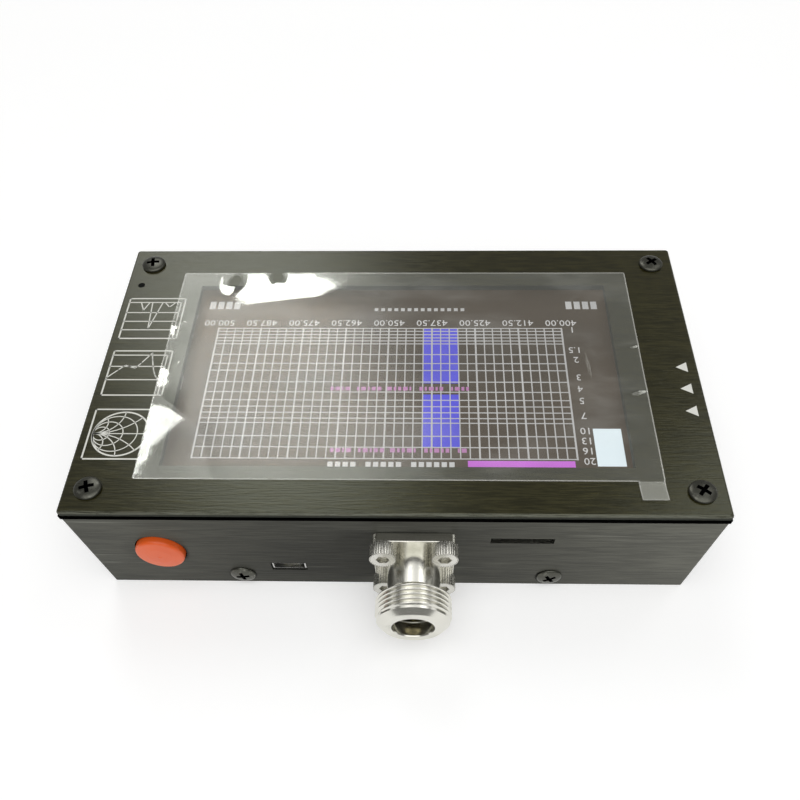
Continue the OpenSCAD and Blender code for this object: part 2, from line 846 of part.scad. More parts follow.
module antenna_socket() {
    color("#c8cac4")
        outward(socket_x, near_y, socket_z)
            difference() {
                union() {
                    linear_extrude(flange_t)
                        polygon(rounded_rect(flange_w, flange_w, flange_corner_r));
                    socket_profile();
                    translate([0, 0, -boss_l])
                        cylinder(h = boss_l + eps, r = boss_r);
                }
                translate([0, 0, -boss_l - cut])
                    cylinder(h = boss_l + 2 * cut, r = boss_bore_r);
                cylinder(h = socket_l + cut, r = bore_r);
                translate([0, 0, socket_l - mouth_l])
                    cylinder(h = mouth_l + cut, r = mouth_r);
                for (q = QUADRANTS)
                    translate([q[0] * flange_screw_spacing / 2, q[1] * flange_screw_spacing / 2, -cut])
                        cylinder(h = flange_t + 2 * cut, d = screw_d + 2 * hole_gap);
            }
}

module antenna_insulator() {
    color("#eeeeea")
        outward(socket_x, near_y, socket_z)
            difference() {
                union() {
                    cylinder(h = bead_out, r = bore_r - bead_gap);
                    translate([0, 0, -boss_l])
                        cylinder(h = boss_l + eps, r = boss_bore_r - bead_gap);
                }
                translate([0, 0, -boss_l - cut])
                    cylinder(h = boss_l + bead_out + 2 * cut, r = pin_r + bead_gap);
            }
}

module antenna_contact() {
    rear = pin_end_y - near_y;
    color("#c9b27a")
        outward(socket_x, near_y, socket_z)
            difference() {
                union() {
                    translate([0, 0, bead_out])
                        cylinder(h = contact_tip - bead_out, r = contact_r);
                    translate([0, 0, -rear])
                        cylinder(h = rear + bead_out + eps, r = pin_r);
                }
                translate([0, 0, contact_tip - contact_hole_l])
                    cylinder(h = contact_hole_l + cut, r = contact_hole_r);
                for (a = [0, 90])
                    rotate([0, 0, a])
                        translate([-contact_r - cut, -contact_slot_w / 2, contact_tip - contact_hole_l / 2])
                            cube([2 * contact_r + 2 * cut, contact_slot_w, contact_hole_l]);
            }
}

// Strap from the rear pin down to the lower board
module signal_strap() {
    foot_l = 2;
    color("#c9a94a")
        translate([socket_x, pin_end_y, lower_board_top])
            union() {
                translate([-strap_w / 2, -strap_t, 0])
                    cube([strap_w, strap_t, socket_z - pin_r - bead_gap - lower_board_top]);
                translate([-strap_w / 2, -foot_l, 0])
                    cube([strap_w, foot_l, strap_t]);
            }
}

module flange_screw(i) {
    color("#d2d3cf")
        at_flange_screw(i)
            outward(0, near_y - flange_t, 0)
                cap_screw(cap_screw_l);
}

module flange_nut(i) {
    color("#d2d3cf")
        at_flange_screw(i)
            inward(0, near_in, 0)
                difference() {
                    hex(nut_t);
                    translate([0, 0, -cut])
                        cylinder(h = nut_t + 2 * cut, d = screw_d);
                }
}

// ---- Drawing ----

front_plate();
case_body();
bottom_cover();
display_gasket();
touch_panel();
display_frame();
display_cell();
display_light_guide();
display_tape();
display_board();
card_socket();
charge_led();
main_board();
usb_socket();
rf_shield();
processor_chip();
battery_pack();
battery_tape();
power_switch();
switch_plunger();
power_button();
antenna_socket();
antenna_insulator();
antenna_contact();
signal_strap();
screen_film();
for (i = [1:4]) {
    plate_screw(i);
    cover_screw(i);
    flange_screw(i);
    flange_nut(i);
    lower_spacer(i);
    upper_spacer(i);
    board_screw(i);
}
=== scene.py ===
"""Dresses the antenna analyzer: finishes for its solids, and the pieces that only show.

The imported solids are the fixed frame. Lengths of pieces are in millimetres until a piece is finished,
and the studio's are in metres.
"""

import logging
import math
from dataclasses import dataclass
from enum import Enum
from typing import Any, Iterable, Sequence

import bmesh
import bpy
from mathutils import Matrix, Vector, noise

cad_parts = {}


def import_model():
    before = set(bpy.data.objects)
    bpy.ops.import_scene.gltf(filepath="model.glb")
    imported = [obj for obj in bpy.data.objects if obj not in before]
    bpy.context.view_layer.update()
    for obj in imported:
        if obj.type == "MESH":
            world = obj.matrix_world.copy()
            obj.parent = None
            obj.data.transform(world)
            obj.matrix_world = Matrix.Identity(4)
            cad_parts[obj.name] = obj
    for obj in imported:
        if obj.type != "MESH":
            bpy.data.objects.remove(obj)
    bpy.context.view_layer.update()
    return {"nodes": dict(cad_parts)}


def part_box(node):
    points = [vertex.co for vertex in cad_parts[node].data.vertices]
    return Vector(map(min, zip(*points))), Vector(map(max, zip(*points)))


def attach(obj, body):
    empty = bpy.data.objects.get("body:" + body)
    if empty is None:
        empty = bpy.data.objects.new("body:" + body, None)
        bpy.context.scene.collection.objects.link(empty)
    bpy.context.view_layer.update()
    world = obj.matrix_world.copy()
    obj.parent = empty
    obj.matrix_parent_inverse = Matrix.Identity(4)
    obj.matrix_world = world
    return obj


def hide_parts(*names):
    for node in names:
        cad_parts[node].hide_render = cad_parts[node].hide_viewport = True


LOG = logging.getLogger("analyzer")
MM = 0.001
CASE = "case"
FULL_TURN = 2 * math.pi
UPRIGHT = (0.0, 0.0, 1.0)

Point = tuple[float, float]
Layer = tuple[float, float]
Strip = tuple[Point, Point]
Colour = tuple[float, float, float]
Node = bpy.types.Object
Points = list[bmesh.types.BMVert]


class Facing(Enum):
    """Direction that a turned piece points in, as its turn about X."""

    UP = 0.0
    NEAR = math.pi / 2
    FAR = -math.pi / 2


def mm_box(node: str) -> tuple[Vector, Vector]:
    """Gives a node's lowest and highest corners at rest, in millimetres."""
    low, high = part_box(node)
    return low / MM, high / MM


def four(stem: str) -> list[str]:
    """Gives the names of a set of four nodes."""
    return [f"{stem}_{i}" for i in range(1, 5)]


def grey(level: float) -> Colour:
    """Gives a grey."""
    return level, level, level


def even(cycles: float) -> Sequence[float]:
    """Gives the same cycles of a noise along each axis."""
    return cycles, cycles, cycles


def points_in(parts: Iterable[Any]) -> Points:
    """Gives the points among the parts that an operator made."""
    return [part for part in parts if isinstance(part, bmesh.types.BMVert)]


def discard(holder: Node) -> None:
    """Takes a passing object and its mesh out of the scene.

    Args:
        holder: The passing object.
    """
    mesh = holder.data
    bpy.data.objects.remove(holder)
    bpy.data.meshes.remove(mesh)


# ---- Shader maths ----


class Value:
    """A shader socket that takes part in Python expressions."""

    def __init__(self, graph: "Graph", socket: bpy.types.NodeSocket) -> None:
        """Wraps a socket of the graph."""
        self.graph = graph
        self.socket = socket

    def _math(self, operation: str, *numbers: Any) -> "Value":
        """Adds a Math node on one or two numbers or values."""
        return self.graph.add("ShaderNodeMath", {"operation": operation}, dict(enumerate(numbers)))

    def __add__(self, other: Any) -> "Value":
        """Adds."""
        return self._math("ADD", self, other)

    __radd__ = __add__

    def __sub__(self, other: Any) -> "Value":
        """Subtracts."""
        return self._math("SUBTRACT", self, other)

    def __rsub__(self, other: Any) -> "Value":
        """Subtracts from a number."""
        return self._math("SUBTRACT", other, self)

    def __mul__(self, other: Any) -> "Value":
        """Multiplies."""
        return self._math("MULTIPLY", self, other)

    __rmul__ = __mul__

    def __pow__(self, other: Any) -> "Value":
        """Raises to a power."""
        return self._math("POWER", self, other)

    def __abs__(self) -> "Value":
        """Drops the sign."""
        return self._math("ABSOLUTE", self)

    def above(self, limit: Any) -> "Value":
        """Gives 1 where the value is over a limit, and 0 elsewhere."""
        return self._math("GREATER_THAN", self, limit)

    def sine(self) -> "Value":
        """Gives the sine."""
        return self._math("SINE", self)

    def ramp(self, low: float, high: float) -> "Value":
        """Spreads the stretch from low to high smoothly over 0 to 1, and holds the rest at the ends."""
        ends = {1: low, 2: high, 3: 0.0, 4: 1.0}
        return self.graph.add("ShaderNodeMapRange", {"interpolation_type": "SMOOTHSTEP"}, {0: self, **ends})


class Graph:
    """Node tree of one finish."""

    def __init__(self, tree: bpy.types.NodeTree) -> None:
        """Starts with an empty tree."""
        self.tree = tree
        tree.nodes.clear()

    def add(self, kind: str, settings: dict[str, Any], inputs: dict[Any, Any], output: Any = 0) -> Value:
        """Adds one node.

        Args:
            kind: Blender's name for the node's type.
            settings: Properties of the node, set before its sockets.
            inputs: Numbers, colours or values for its sockets, by name or number.
            output: Name or number of the socket that is given back.

        Returns:
            The output as a value.
        """
        node = self.tree.nodes.new(kind)
        for name, setting in settings.items():
            setattr(node, name, setting)
        for name, given in inputs.items():
            if isinstance(given, Value):
                self.tree.links.new(given.socket, node.inputs[name])
            else:
                node.inputs[name].default_value = given
        return Value(self, node.outputs[output])

    def place(self) -> Value:
        """Gives the Object coordinates, in metres."""
        return self.add("ShaderNodeTexCoord", {}, {}, "Object")

    def axis(self, vector: Value, name: str) -> Value:
        """Gives one of X, Y and Z of a vector."""
        return self.add("ShaderNodeSeparateXYZ", {}, {0: vector}, name)

    def noise(self, scale: Sequence[float], detail: float = 3.0, rough: float = 0.55) -> Value:
        """Adds noise from 0 to 1.

        Args:
            scale: Its cycles for each metre along X, Y and Z.
            detail: Number of its finer layers.
            rough: Share of each finer layer.

        Returns:
            The noise.
        """
        stretched = {0: self.place(), 1: tuple(scale)}
        place = self.add("ShaderNodeVectorMath", {"operation": "MULTIPLY"}, stretched)
        inputs = {"Vector": place, "Scale": 1.0, "Detail": detail, "Roughness": rough}
        return self.add("ShaderNodeTexNoise", {}, inputs)

    def mix(self, factor: Any, first: Any, second: Any) -> Value:
        """Mixes two colours: factor 0 gives the first and 1 the second."""
        inputs = {0: factor, 6: self._rgba(first), 7: self._rgba(second)}
        return self.add("ShaderNodeMix", {"data_type": "RGBA"}, inputs, 2)

    @staticmethod
    def _rgba(colour: Any) -> Any:
        """Gives a plain colour its fourth number."""
        return colour if isinstance(colour, Value) else (*colour, 1.0)

    def bump(self, height: Value, strength: float, depth: float) -> Value:
        """Turns a height from 0 to 1 into a normal; the depth is that of height 1, in metres."""
        return self.add("ShaderNodeBump", {}, {"Height": height, "Strength": strength, "Distance": depth})

    def principled(self, inputs: dict[str, Any]) -> Value:
        """Adds a Principled shader."""
        full = {name: self._rgba(v) if isinstance(v, tuple) else v for name, v in inputs.items()}
        return self.add("ShaderNodeBsdfPrincipled", {}, full)

    def output(self, kind: str, shader: Value) -> None:
        """Adds an output node and joins the shader to it."""
        node = self.tree.nodes.new(kind)
        self.tree.links.new(shader.socket, node.inputs["Surface"])


# ---- Finishes ----


@dataclass(frozen=True)
class Finish:
    """One finish. The subclasses say how its nodes are laid."""

    name: str

    def material(self) -> bpy.types.Material:
        """Gives the finish's material, made at its first use.

        Returns:
            The material.
        """
        made = bpy.data.materials.get(self.name)
        if made is None:
            made = bpy.data.materials.new(self.name)
            made.use_nodes = True
            graph = Graph(made.node_tree)
            graph.output("ShaderNodeOutputMaterial", self.shader(graph))
        return made

    def shader(self, graph: Graph) -> Value:
        """Lays the nodes and gives the shader, from the graph that takes them."""
        raise NotImplementedError


@dataclass(frozen=True)
class BrushedAnodised(Finish):
    """Black anodised aluminium, brushed along the length of each face, with a painted highlight on the
    rounded rims and painted shade on the upright faces.
    """

    dark: Colour = (0.011, 0.009, 0.0014)
    light: Colour = (0.032, 0.027, 0.006)
    smooth: float = 0.18
    rough: float = 0.26
    gloss: float = 0.72
    tint: Colour = (0.94, 1.0, 0.80)
    grain: float = 0.7
    # Strength of the painted rim highlight and of the painted shade on the upright faces.
    rim: float = 1.0
    long: float = 230.0
    fine: float = 3200.0
    scratch: Colour = (0.09, 0.092, 0.08)
    # Colour of the painted highlight on the rounded rims.
    rim_highlight: Colour = (0.09, 0.09, 0.075)
    # Colour of the painted shade on the upright faces.
    cut: Colour = (0.002, 0.002, 0.002)
    depth: float = 0.00006

    def shader(self, graph: Graph) -> Value:
        """Lays streaks along X, and along Y on the left and right faces, paints a highlight on the rounded
        rims, and paints the upright faces near-black as shade.

        Args:
            graph: Graph that takes the nodes.

        Returns:
            The shader.
        """
        normal = graph.add("ShaderNodeTexCoord", {}, {}, "Normal")
        side = abs(graph.axis(normal, "X")).above(0.7)
        level = abs(graph.axis(normal, "Z"))
        # Marks the tilted faces of the rounded rims, where a highlight is painted.
        rim = level.ramp(0.12, 0.4) * (1.0 - level.ramp(0.93, 0.99)) * self.rim
        # Marks the upright faces, which are painted near-black as shade.
        cut = (1.0 - level.ramp(0.1, 0.3)) * self.rim
        along_x = graph.noise((self.long, self.fine, self.fine))
        along_y = graph.noise((self.fine, self.long, self.fine))
        streak = along_x * (1.0 - side) + along_y * side
        cloud = graph.noise((55.0, 90.0, 90.0))
        scratch = graph.noise((14.0, 900.0, 900.0), 2.0, 0.5).ramp(0.66, 0.74)
        tone = streak.ramp(0.38, 0.64) * 0.75 + cloud.ramp(0.3, 0.8) * 0.3
        bright = graph.mix(scratch * 0.22, self.light, self.scratch)
        brushed = graph.mix(tone, self.dark, bright)
        # Painted highlight: the rounded rims are lightened towards the highlight colour.
        rim_highlight = graph.mix(rim * streak.ramp(0.3, 0.6), brushed, self.rim_highlight)
        rough = self.smooth + (self.rough - self.smooth) * (streak.ramp(0.38, 0.64) * 0.8 + cloud * 0.2)
        return graph.principled({
            # Painted shade: the upright faces are darkened to near-black.
            "Base Color": graph.mix(cut, rim_highlight, self.cut),
            "Roughness": rough + cut * 0.6,
            "Specular IOR Level": self.gloss,
            "Specular Tint": self.tint,
            "Normal": graph.bump(streak, 1.0, self.grain * self.depth),
        })


@dataclass(frozen=True)
class BlackOxide(Finish):
    """Black oxide steel of the round-headed screws, rubbed lighter in places."""

    base: Colour = (0.085, 0.085, 0.07)
    rubbed: Colour = (0.30, 0.30, 0.26)

    def shader(self, graph: Graph) -> Value:
        """Lays a mottled black with rubbed spots.

        Args:
            graph: Graph that takes the nodes.

        Returns:
            The shader.
        """
        rub = graph.noise(even(700.0), 4.0).ramp(0.56, 0.78)
        mottle = graph.noise(even(2600.0), 2.0)
        return graph.principled({
            "Base Color": graph.mix(rub * 0.7, self.base, self.rubbed),
            "Metallic": 0.8,
            "Roughness": 0.2 + mottle * 0.2,
            "Normal": graph.bump(mottle, 0.18, 0.00004),
        })


@dataclass(frozen=True)
class TurnedMetal(Finish):
    """Plated or bare metal, turned about the Y axis or rolled."""

    base: Colour = (0.72, 0.71, 0.65)
    shade: Colour = (0.45, 0.45, 0.38)
    smooth: float = 0.15
    rough: float = 0.30
    ring: Sequence[float] = (60.0, 2600.0, 60.0)
    marks: float = 0.12

    def shader(self, graph: Graph) -> Value:
        """Lays fine tool marks and a faint tarnish.

        Args:
            graph: Graph that takes the nodes.

        Returns:
            The shader.
        """
        tool = graph.noise(self.ring)
        tarnish = graph.noise(even(160.0), 4.0).ramp(0.45, 0.8)
        return graph.principled({
            "Base Color": graph.mix(tarnish * 0.6, self.base, self.shade),
            "Metallic": 1.0,
            "Roughness": self.smooth + (self.rough - self.smooth) * (tool * 0.6 + tarnish * 0.4),
            "Normal": graph.bump(tool, self.marks, 0.00003),
        })


@dataclass(frozen=True)
class KnurledSteel(Finish):
    """Zinc-plated cap screws round the socket, knurled on the sides of their heads."""

    axis_x: float = 4.4
    axis_z: float = 13.1
    pitch: float = 6.35
    teeth: float = 34.0
    shank_r: float = 2.45
    head_r: float = 2.62
    base: Colour = (0.80, 0.79, 0.74)
    grime: Colour = (0.30, 0.29, 0.24)

    def shader(self, graph: Graph) -> Value:
        """Lays a knurl about each of the four screws' own axes.

        Args:
            graph: Graph that takes the nodes.

        Returns:
            The shader.
        """
        place = graph.place()
        across = abs(graph.axis(place, "X") - self.axis_x * MM) - self.pitch * MM
        upward = abs(graph.axis(place, "Z") - self.axis_z * MM) - self.pitch * MM
        angle = graph.add("ShaderNodeMath", {"operation": "ARCTAN2"}, {0: upward, 1: across})
        ridge = (angle * self.teeth).sine() * 0.5 + 0.5
        reach = graph.add("ShaderNodeVectorMath", {"operation": "LENGTH"}, {
            0: graph.add("ShaderNodeCombineXYZ", {}, {0: across, 1: upward, 2: 0.0}),
        }, "Value")
        knurl = ridge * reach.ramp(self.shank_r * MM, self.head_r * MM)
        grime = graph.noise(even(900.0), 4.0)
        return graph.principled({
            "Base Color": graph.mix(knurl * 0.45 + grime * 0.25, self.base, self.grime),
            "Metallic": 1.0,
            "Roughness": 0.16 + grime * 0.2,
            "Normal": graph.bump(knurl + grime * 0.15, 0.8, 0.00012),
        })


@dataclass(frozen=True)
class Moulded(Finish):
    """Moulded plastic, rubber or foam with a fine grain."""

    base: Colour
    shade: Colour
    rough: float
    grain: float
    cells: float = 2200.0
    coat: float = 0.0
    gloss: float = 0.5

    def shader(self, graph: Graph) -> Value:
        """Lays a grain and a slow change of colour.

        Args:
            graph: Graph that takes the nodes.

        Returns:
            The shader.
        """
        grain = graph.noise(even(self.cells))
        slow = graph.noise(even(120.0)).ramp(0.35, 0.75)
        return graph.principled({
            "Base Color": graph.mix(slow * 0.6 + grain * 0.2, self.base, self.shade),
            "Roughness": self.rough + grain * 0.14 - 0.07,
            "Specular IOR Level": self.gloss,
            "Coat Weight": self.coat,
            "Coat Roughness": 0.12,
            "Normal": graph.bump(grain, self.grain, 0.00005),
        })


@dataclass(frozen=True)
class SolderMask(Finish):
    """Green circuit board with its tracks showing through the mask."""

    mask: Colour = (0.012, 0.075, 0.03)
    track: Colour = (0.03, 0.16, 0.06)
    raster: float = 420.0

    def shader(self, graph: Graph) -> Value:
        """Lays tracks on a square raster.

        Args:
            graph: Graph that takes the nodes.

        Returns:
            The shader.
        """
        settings = {"distance": "CHEBYCHEV", "feature": "F1"}
        inputs = {"Vector": graph.place(), "Scale": self.raster, "Randomness": 0.85}
        track = graph.add("ShaderNodeTexVoronoi", settings, inputs, "Distance").ramp(0.42, 0.5)
        return graph.principled({
            "Base Color": graph.mix(track, self.mask, self.track),
            "Roughness": 0.3 + track * 0.12,
            "Coat Weight": 0.4,
            "Normal": graph.bump(track, 0.3, 0.00004),
        })


@dataclass(frozen=True)
class ClearSheet(Finish):
    """Glass or film that is seen through, with its own gloss and a faint veil."""

    veil: Colour = (0.93, 0.95, 0.88)
    cover: float = 0.055
    edge: float = 0.5
    mirror: float = 0.68
    rough: float = 0.05
    scuffs: float = 0.03
    ripple: float = 0.12
    smeared: Colour = (0.82, 0.83, 0.78)

    def shader(self, graph: Graph) -> Value:
        """Mixes a see-through part with a gloss that grows where the sheet is seen along its face.

        Args:
            graph: Graph that takes the nodes.

        Returns:
            The shader.
        """
        facing = graph.add("ShaderNodeLayerWeight", {}, {"Blend": 0.5}, "Facing")
        smear = graph.noise((42.0, 95.0, 60.0), 4.0, 0.6).ramp(0.42, 0.78)
        swell = graph.noise((34.0, 60.0, 40.0), 2.0)
        gloss = graph.principled({
            "Base Color": graph.mix(smear, self.veil, self.smeared),
            "Metallic": self.mirror - smear * 0.25,
            "Roughness": self.rough + smear * 0.08,
            "Normal": graph.bump(swell, self.ripple, 0.0006),
        })
        clear = graph.add("ShaderNodeBsdfTransparent", {}, {})
        share = self.cover + facing ** 4.0 * self.edge + smear * self.scuffs
        return graph.add("ShaderNodeMixShader", {}, {0: share, 1: clear, 2: gloss})


@dataclass(frozen=True)
class LitCell(Finish):
    """Liquid-crystal cell that leaks a little of its backlight."""

    glow: Colour = (0.046, 0.027, 0.013)
    black: Colour = grey(0.010)
    sheen: Colour = (0.018, 0.017, 0.016)

    def shader(self, graph: Graph) -> Value:
        """Lays an uneven backlight under black glass.

        Args:
            graph: Graph that takes the nodes.

        Returns:
            The shader.
        """
        leak = graph.noise((18.0, 26.0, 1.0), 2.0).ramp(0.25, 0.8)
        grain = graph.noise((9000.0, 9000.0, 1.0), 1.0)
        return graph.principled({
            "Base Color": graph.mix(grain, self.black, self.sheen),
            "Roughness": 0.22,
            "Specular IOR Level": 0.15,
            "Emission Color": graph.mix(leak, tuple(0.5 * c for c in self.glow), self.glow),
            "Emission Strength": 1.0,
        })


@dataclass(frozen=True)
class LitInk(Finish):
    """Lit points of the display, in one colour."""

    light: Colour
    dim: float = 0.8

    def shader(self, graph: Graph) -> Value:
        """Lays a slightly uneven glow.

        Args:
            graph: Graph that takes the nodes.

        Returns:
            The shader.
        """
        cloud = graph.noise((60.0, 60.0, 1.0), 2.0).ramp(0.3, 0.75)
        return graph.principled({
            "Base Color": grey(0.02),
            "Roughness": 0.4,
            "Emission Color": graph.mix(cloud, tuple(self.dim * c for c in self.light), self.light),
            "Emission Strength": 1.0,
        })


@dataclass(frozen=True)
class StudioFloor(Finish):
    """Pale floor that lifts its own shadows a little."""

    lift: float = 0.28

    def shader(self, graph: Graph) -> Value:
        """Lays a pale, nearly even white.

        Args:
            graph: Graph that takes the nodes.

        Returns:
            The shader.
        """
        cloud = graph.noise(even(3.0), 2.0)
        return graph.principled({
            "Base Color": graph.mix(cloud, grey(0.89), grey(0.93)),
            "Roughness": 0.9,
            "Specular IOR Level": 0.0,
            "Emission Color": grey(1.0),
            "Emission Strength": self.lift,
        })


ROLLED = (60.0, 60.0, 1400.0)
# The plate keeps the painted rim highlight and the painted shade on its upright faces. The walls pass rim 0.0
# and have neither.
PLATE = BrushedAnodised("finish_front_plate")
WALLS = BrushedAnodised("finish_case_walls", (0.010, 0.010, 0.0085), (0.015, 0.015, 0.0125), 0.31, 0.38, 0.06,
                       (1.0, 1.0, 0.9), 1.0, 0.0, 130.0, 2000.0)
SCREW = BlackOxide("finish_black_oxide")
NICKEL = TurnedMetal("finish_nickel")
STEEL = KnurledSteel("finish_cap_screw_steel")
SHEET_STEEL = TurnedMetal("finish_sheet_steel", (0.6, 0.6, 0.58), (0.42, 0.42, 0.4), 0.2, 0.38,
                          (60.0, 60.0, 900.0))
GOLD = TurnedMetal("finish_gold_contact", (0.78, 0.68, 0.38), (0.5, 0.42, 0.2), 0.12, 0.28)
BRASS = TurnedMetal("finish_brass_spacer", (0.68, 0.5, 0.2), (0.42, 0.3, 0.1), 0.16, 0.32, ROLLED)
ZINC = TurnedMetal("finish_zinc_screw", (0.7, 0.7, 0.68), (0.5, 0.5, 0.47), 0.14, 0.3, ROLLED)
INSULATOR = Moulded("finish_insulator", (0.82, 0.82, 0.78), (0.66, 0.66, 0.6), 0.42, 0.15)
GASKET = Moulded("finish_gasket", grey(0.012), (0.022, 0.022, 0.02), 0.8, 0.4)
FOAM = Moulded("finish_foam_tape", (0.8, 0.8, 0.76), (0.66, 0.66, 0.62), 0.9, 0.7, 1500.0)
LIGHT_GUIDE = Moulded("finish_light_guide", (0.86, 0.87, 0.88), (0.78, 0.79, 0.8), 0.3, 0.1)
CHIP = Moulded("finish_chip", (0.02, 0.02, 0.022), (0.035, 0.035, 0.037), 0.55, 0.35)
POUCH = Moulded("finish_battery_pouch", (0.5, 0.52, 0.54), (0.4, 0.42, 0.44), 0.28, 0.5, 600.0, 0.3)
SWITCH = Moulded("finish_switch_body", (0.04, 0.12, 0.34), (0.03, 0.09, 0.26), 0.45, 0.2)
PLUNGER = Moulded("finish_plunger", (0.8, 0.8, 0.77), (0.7, 0.7, 0.66), 0.45, 0.2)
BUTTON_RED = Moulded("finish_red_button", (0.80, 0.11, 0.008), (0.72, 0.092, 0.008), 0.36, 0.12, 1500.0, 0.12)
LAMP = Moulded("finish_lamp_lens", (0.002, 0.0025, 0.002), (0.005, 0.006, 0.004), 0.6, 0.08, gloss=0.08)
# Near-black without gloss: painted shade, in the gap under the front plate and inside the screws' recesses.
PAINTED_SHADE = Moulded("finish_painted_shade", grey(0.001), grey(0.002), 0.9, 0.1, gloss=0.0)
BOARD = SolderMask("finish_circuit_board")
TOUCH = ClearSheet("finish_touch_panel", (0.85, 0.62, 0.40), 0.016, 0.5, 0.7, 0.06, 0.01, 0.04)
FILM = ClearSheet("finish_clear_film")
# Whiter, more opaque finish for the film's upright cut edges and its border band. It is the cut edge's own
# whiteness, with a painted highlight along the border.
FILM_EDGE_HIGHLIGHT = ClearSheet("finish_film_edge_highlight", (0.85, 0.85, 0.8), 0.17, 0.1, 0.3, 0.25, 0.0, 0.0)
FILM_TAB = ClearSheet("finish_film_tab", (0.85, 0.86, 0.78), 0.11, 0.3, 0.35, 0.2, 0.04, 0.0)
CELL = LitCell("finish_display_cell")
PRINT = Moulded("finish_white_print", (0.84, 0.84, 0.78), (0.70, 0.70, 0.65), 0.6, 0.3, 5200.0)
INK_WHITE = LitInk("ink_white", grey(0.50))
INK_NUMBER = LitInk("ink_number", grey(0.62))
INK_BLUE = LitInk("ink_blue", (0.035, 0.03, 0.72))
INK_PURPLE = LitInk("ink_purple", (0.62, 0.12, 0.75))
INK_PINK = LitInk("ink_pink", (0.46, 0.16, 0.42))
INK_PALE = LitInk("ink_pale", (0.78, 0.9, 0.95), 0.95)


# ---- Shapes ----


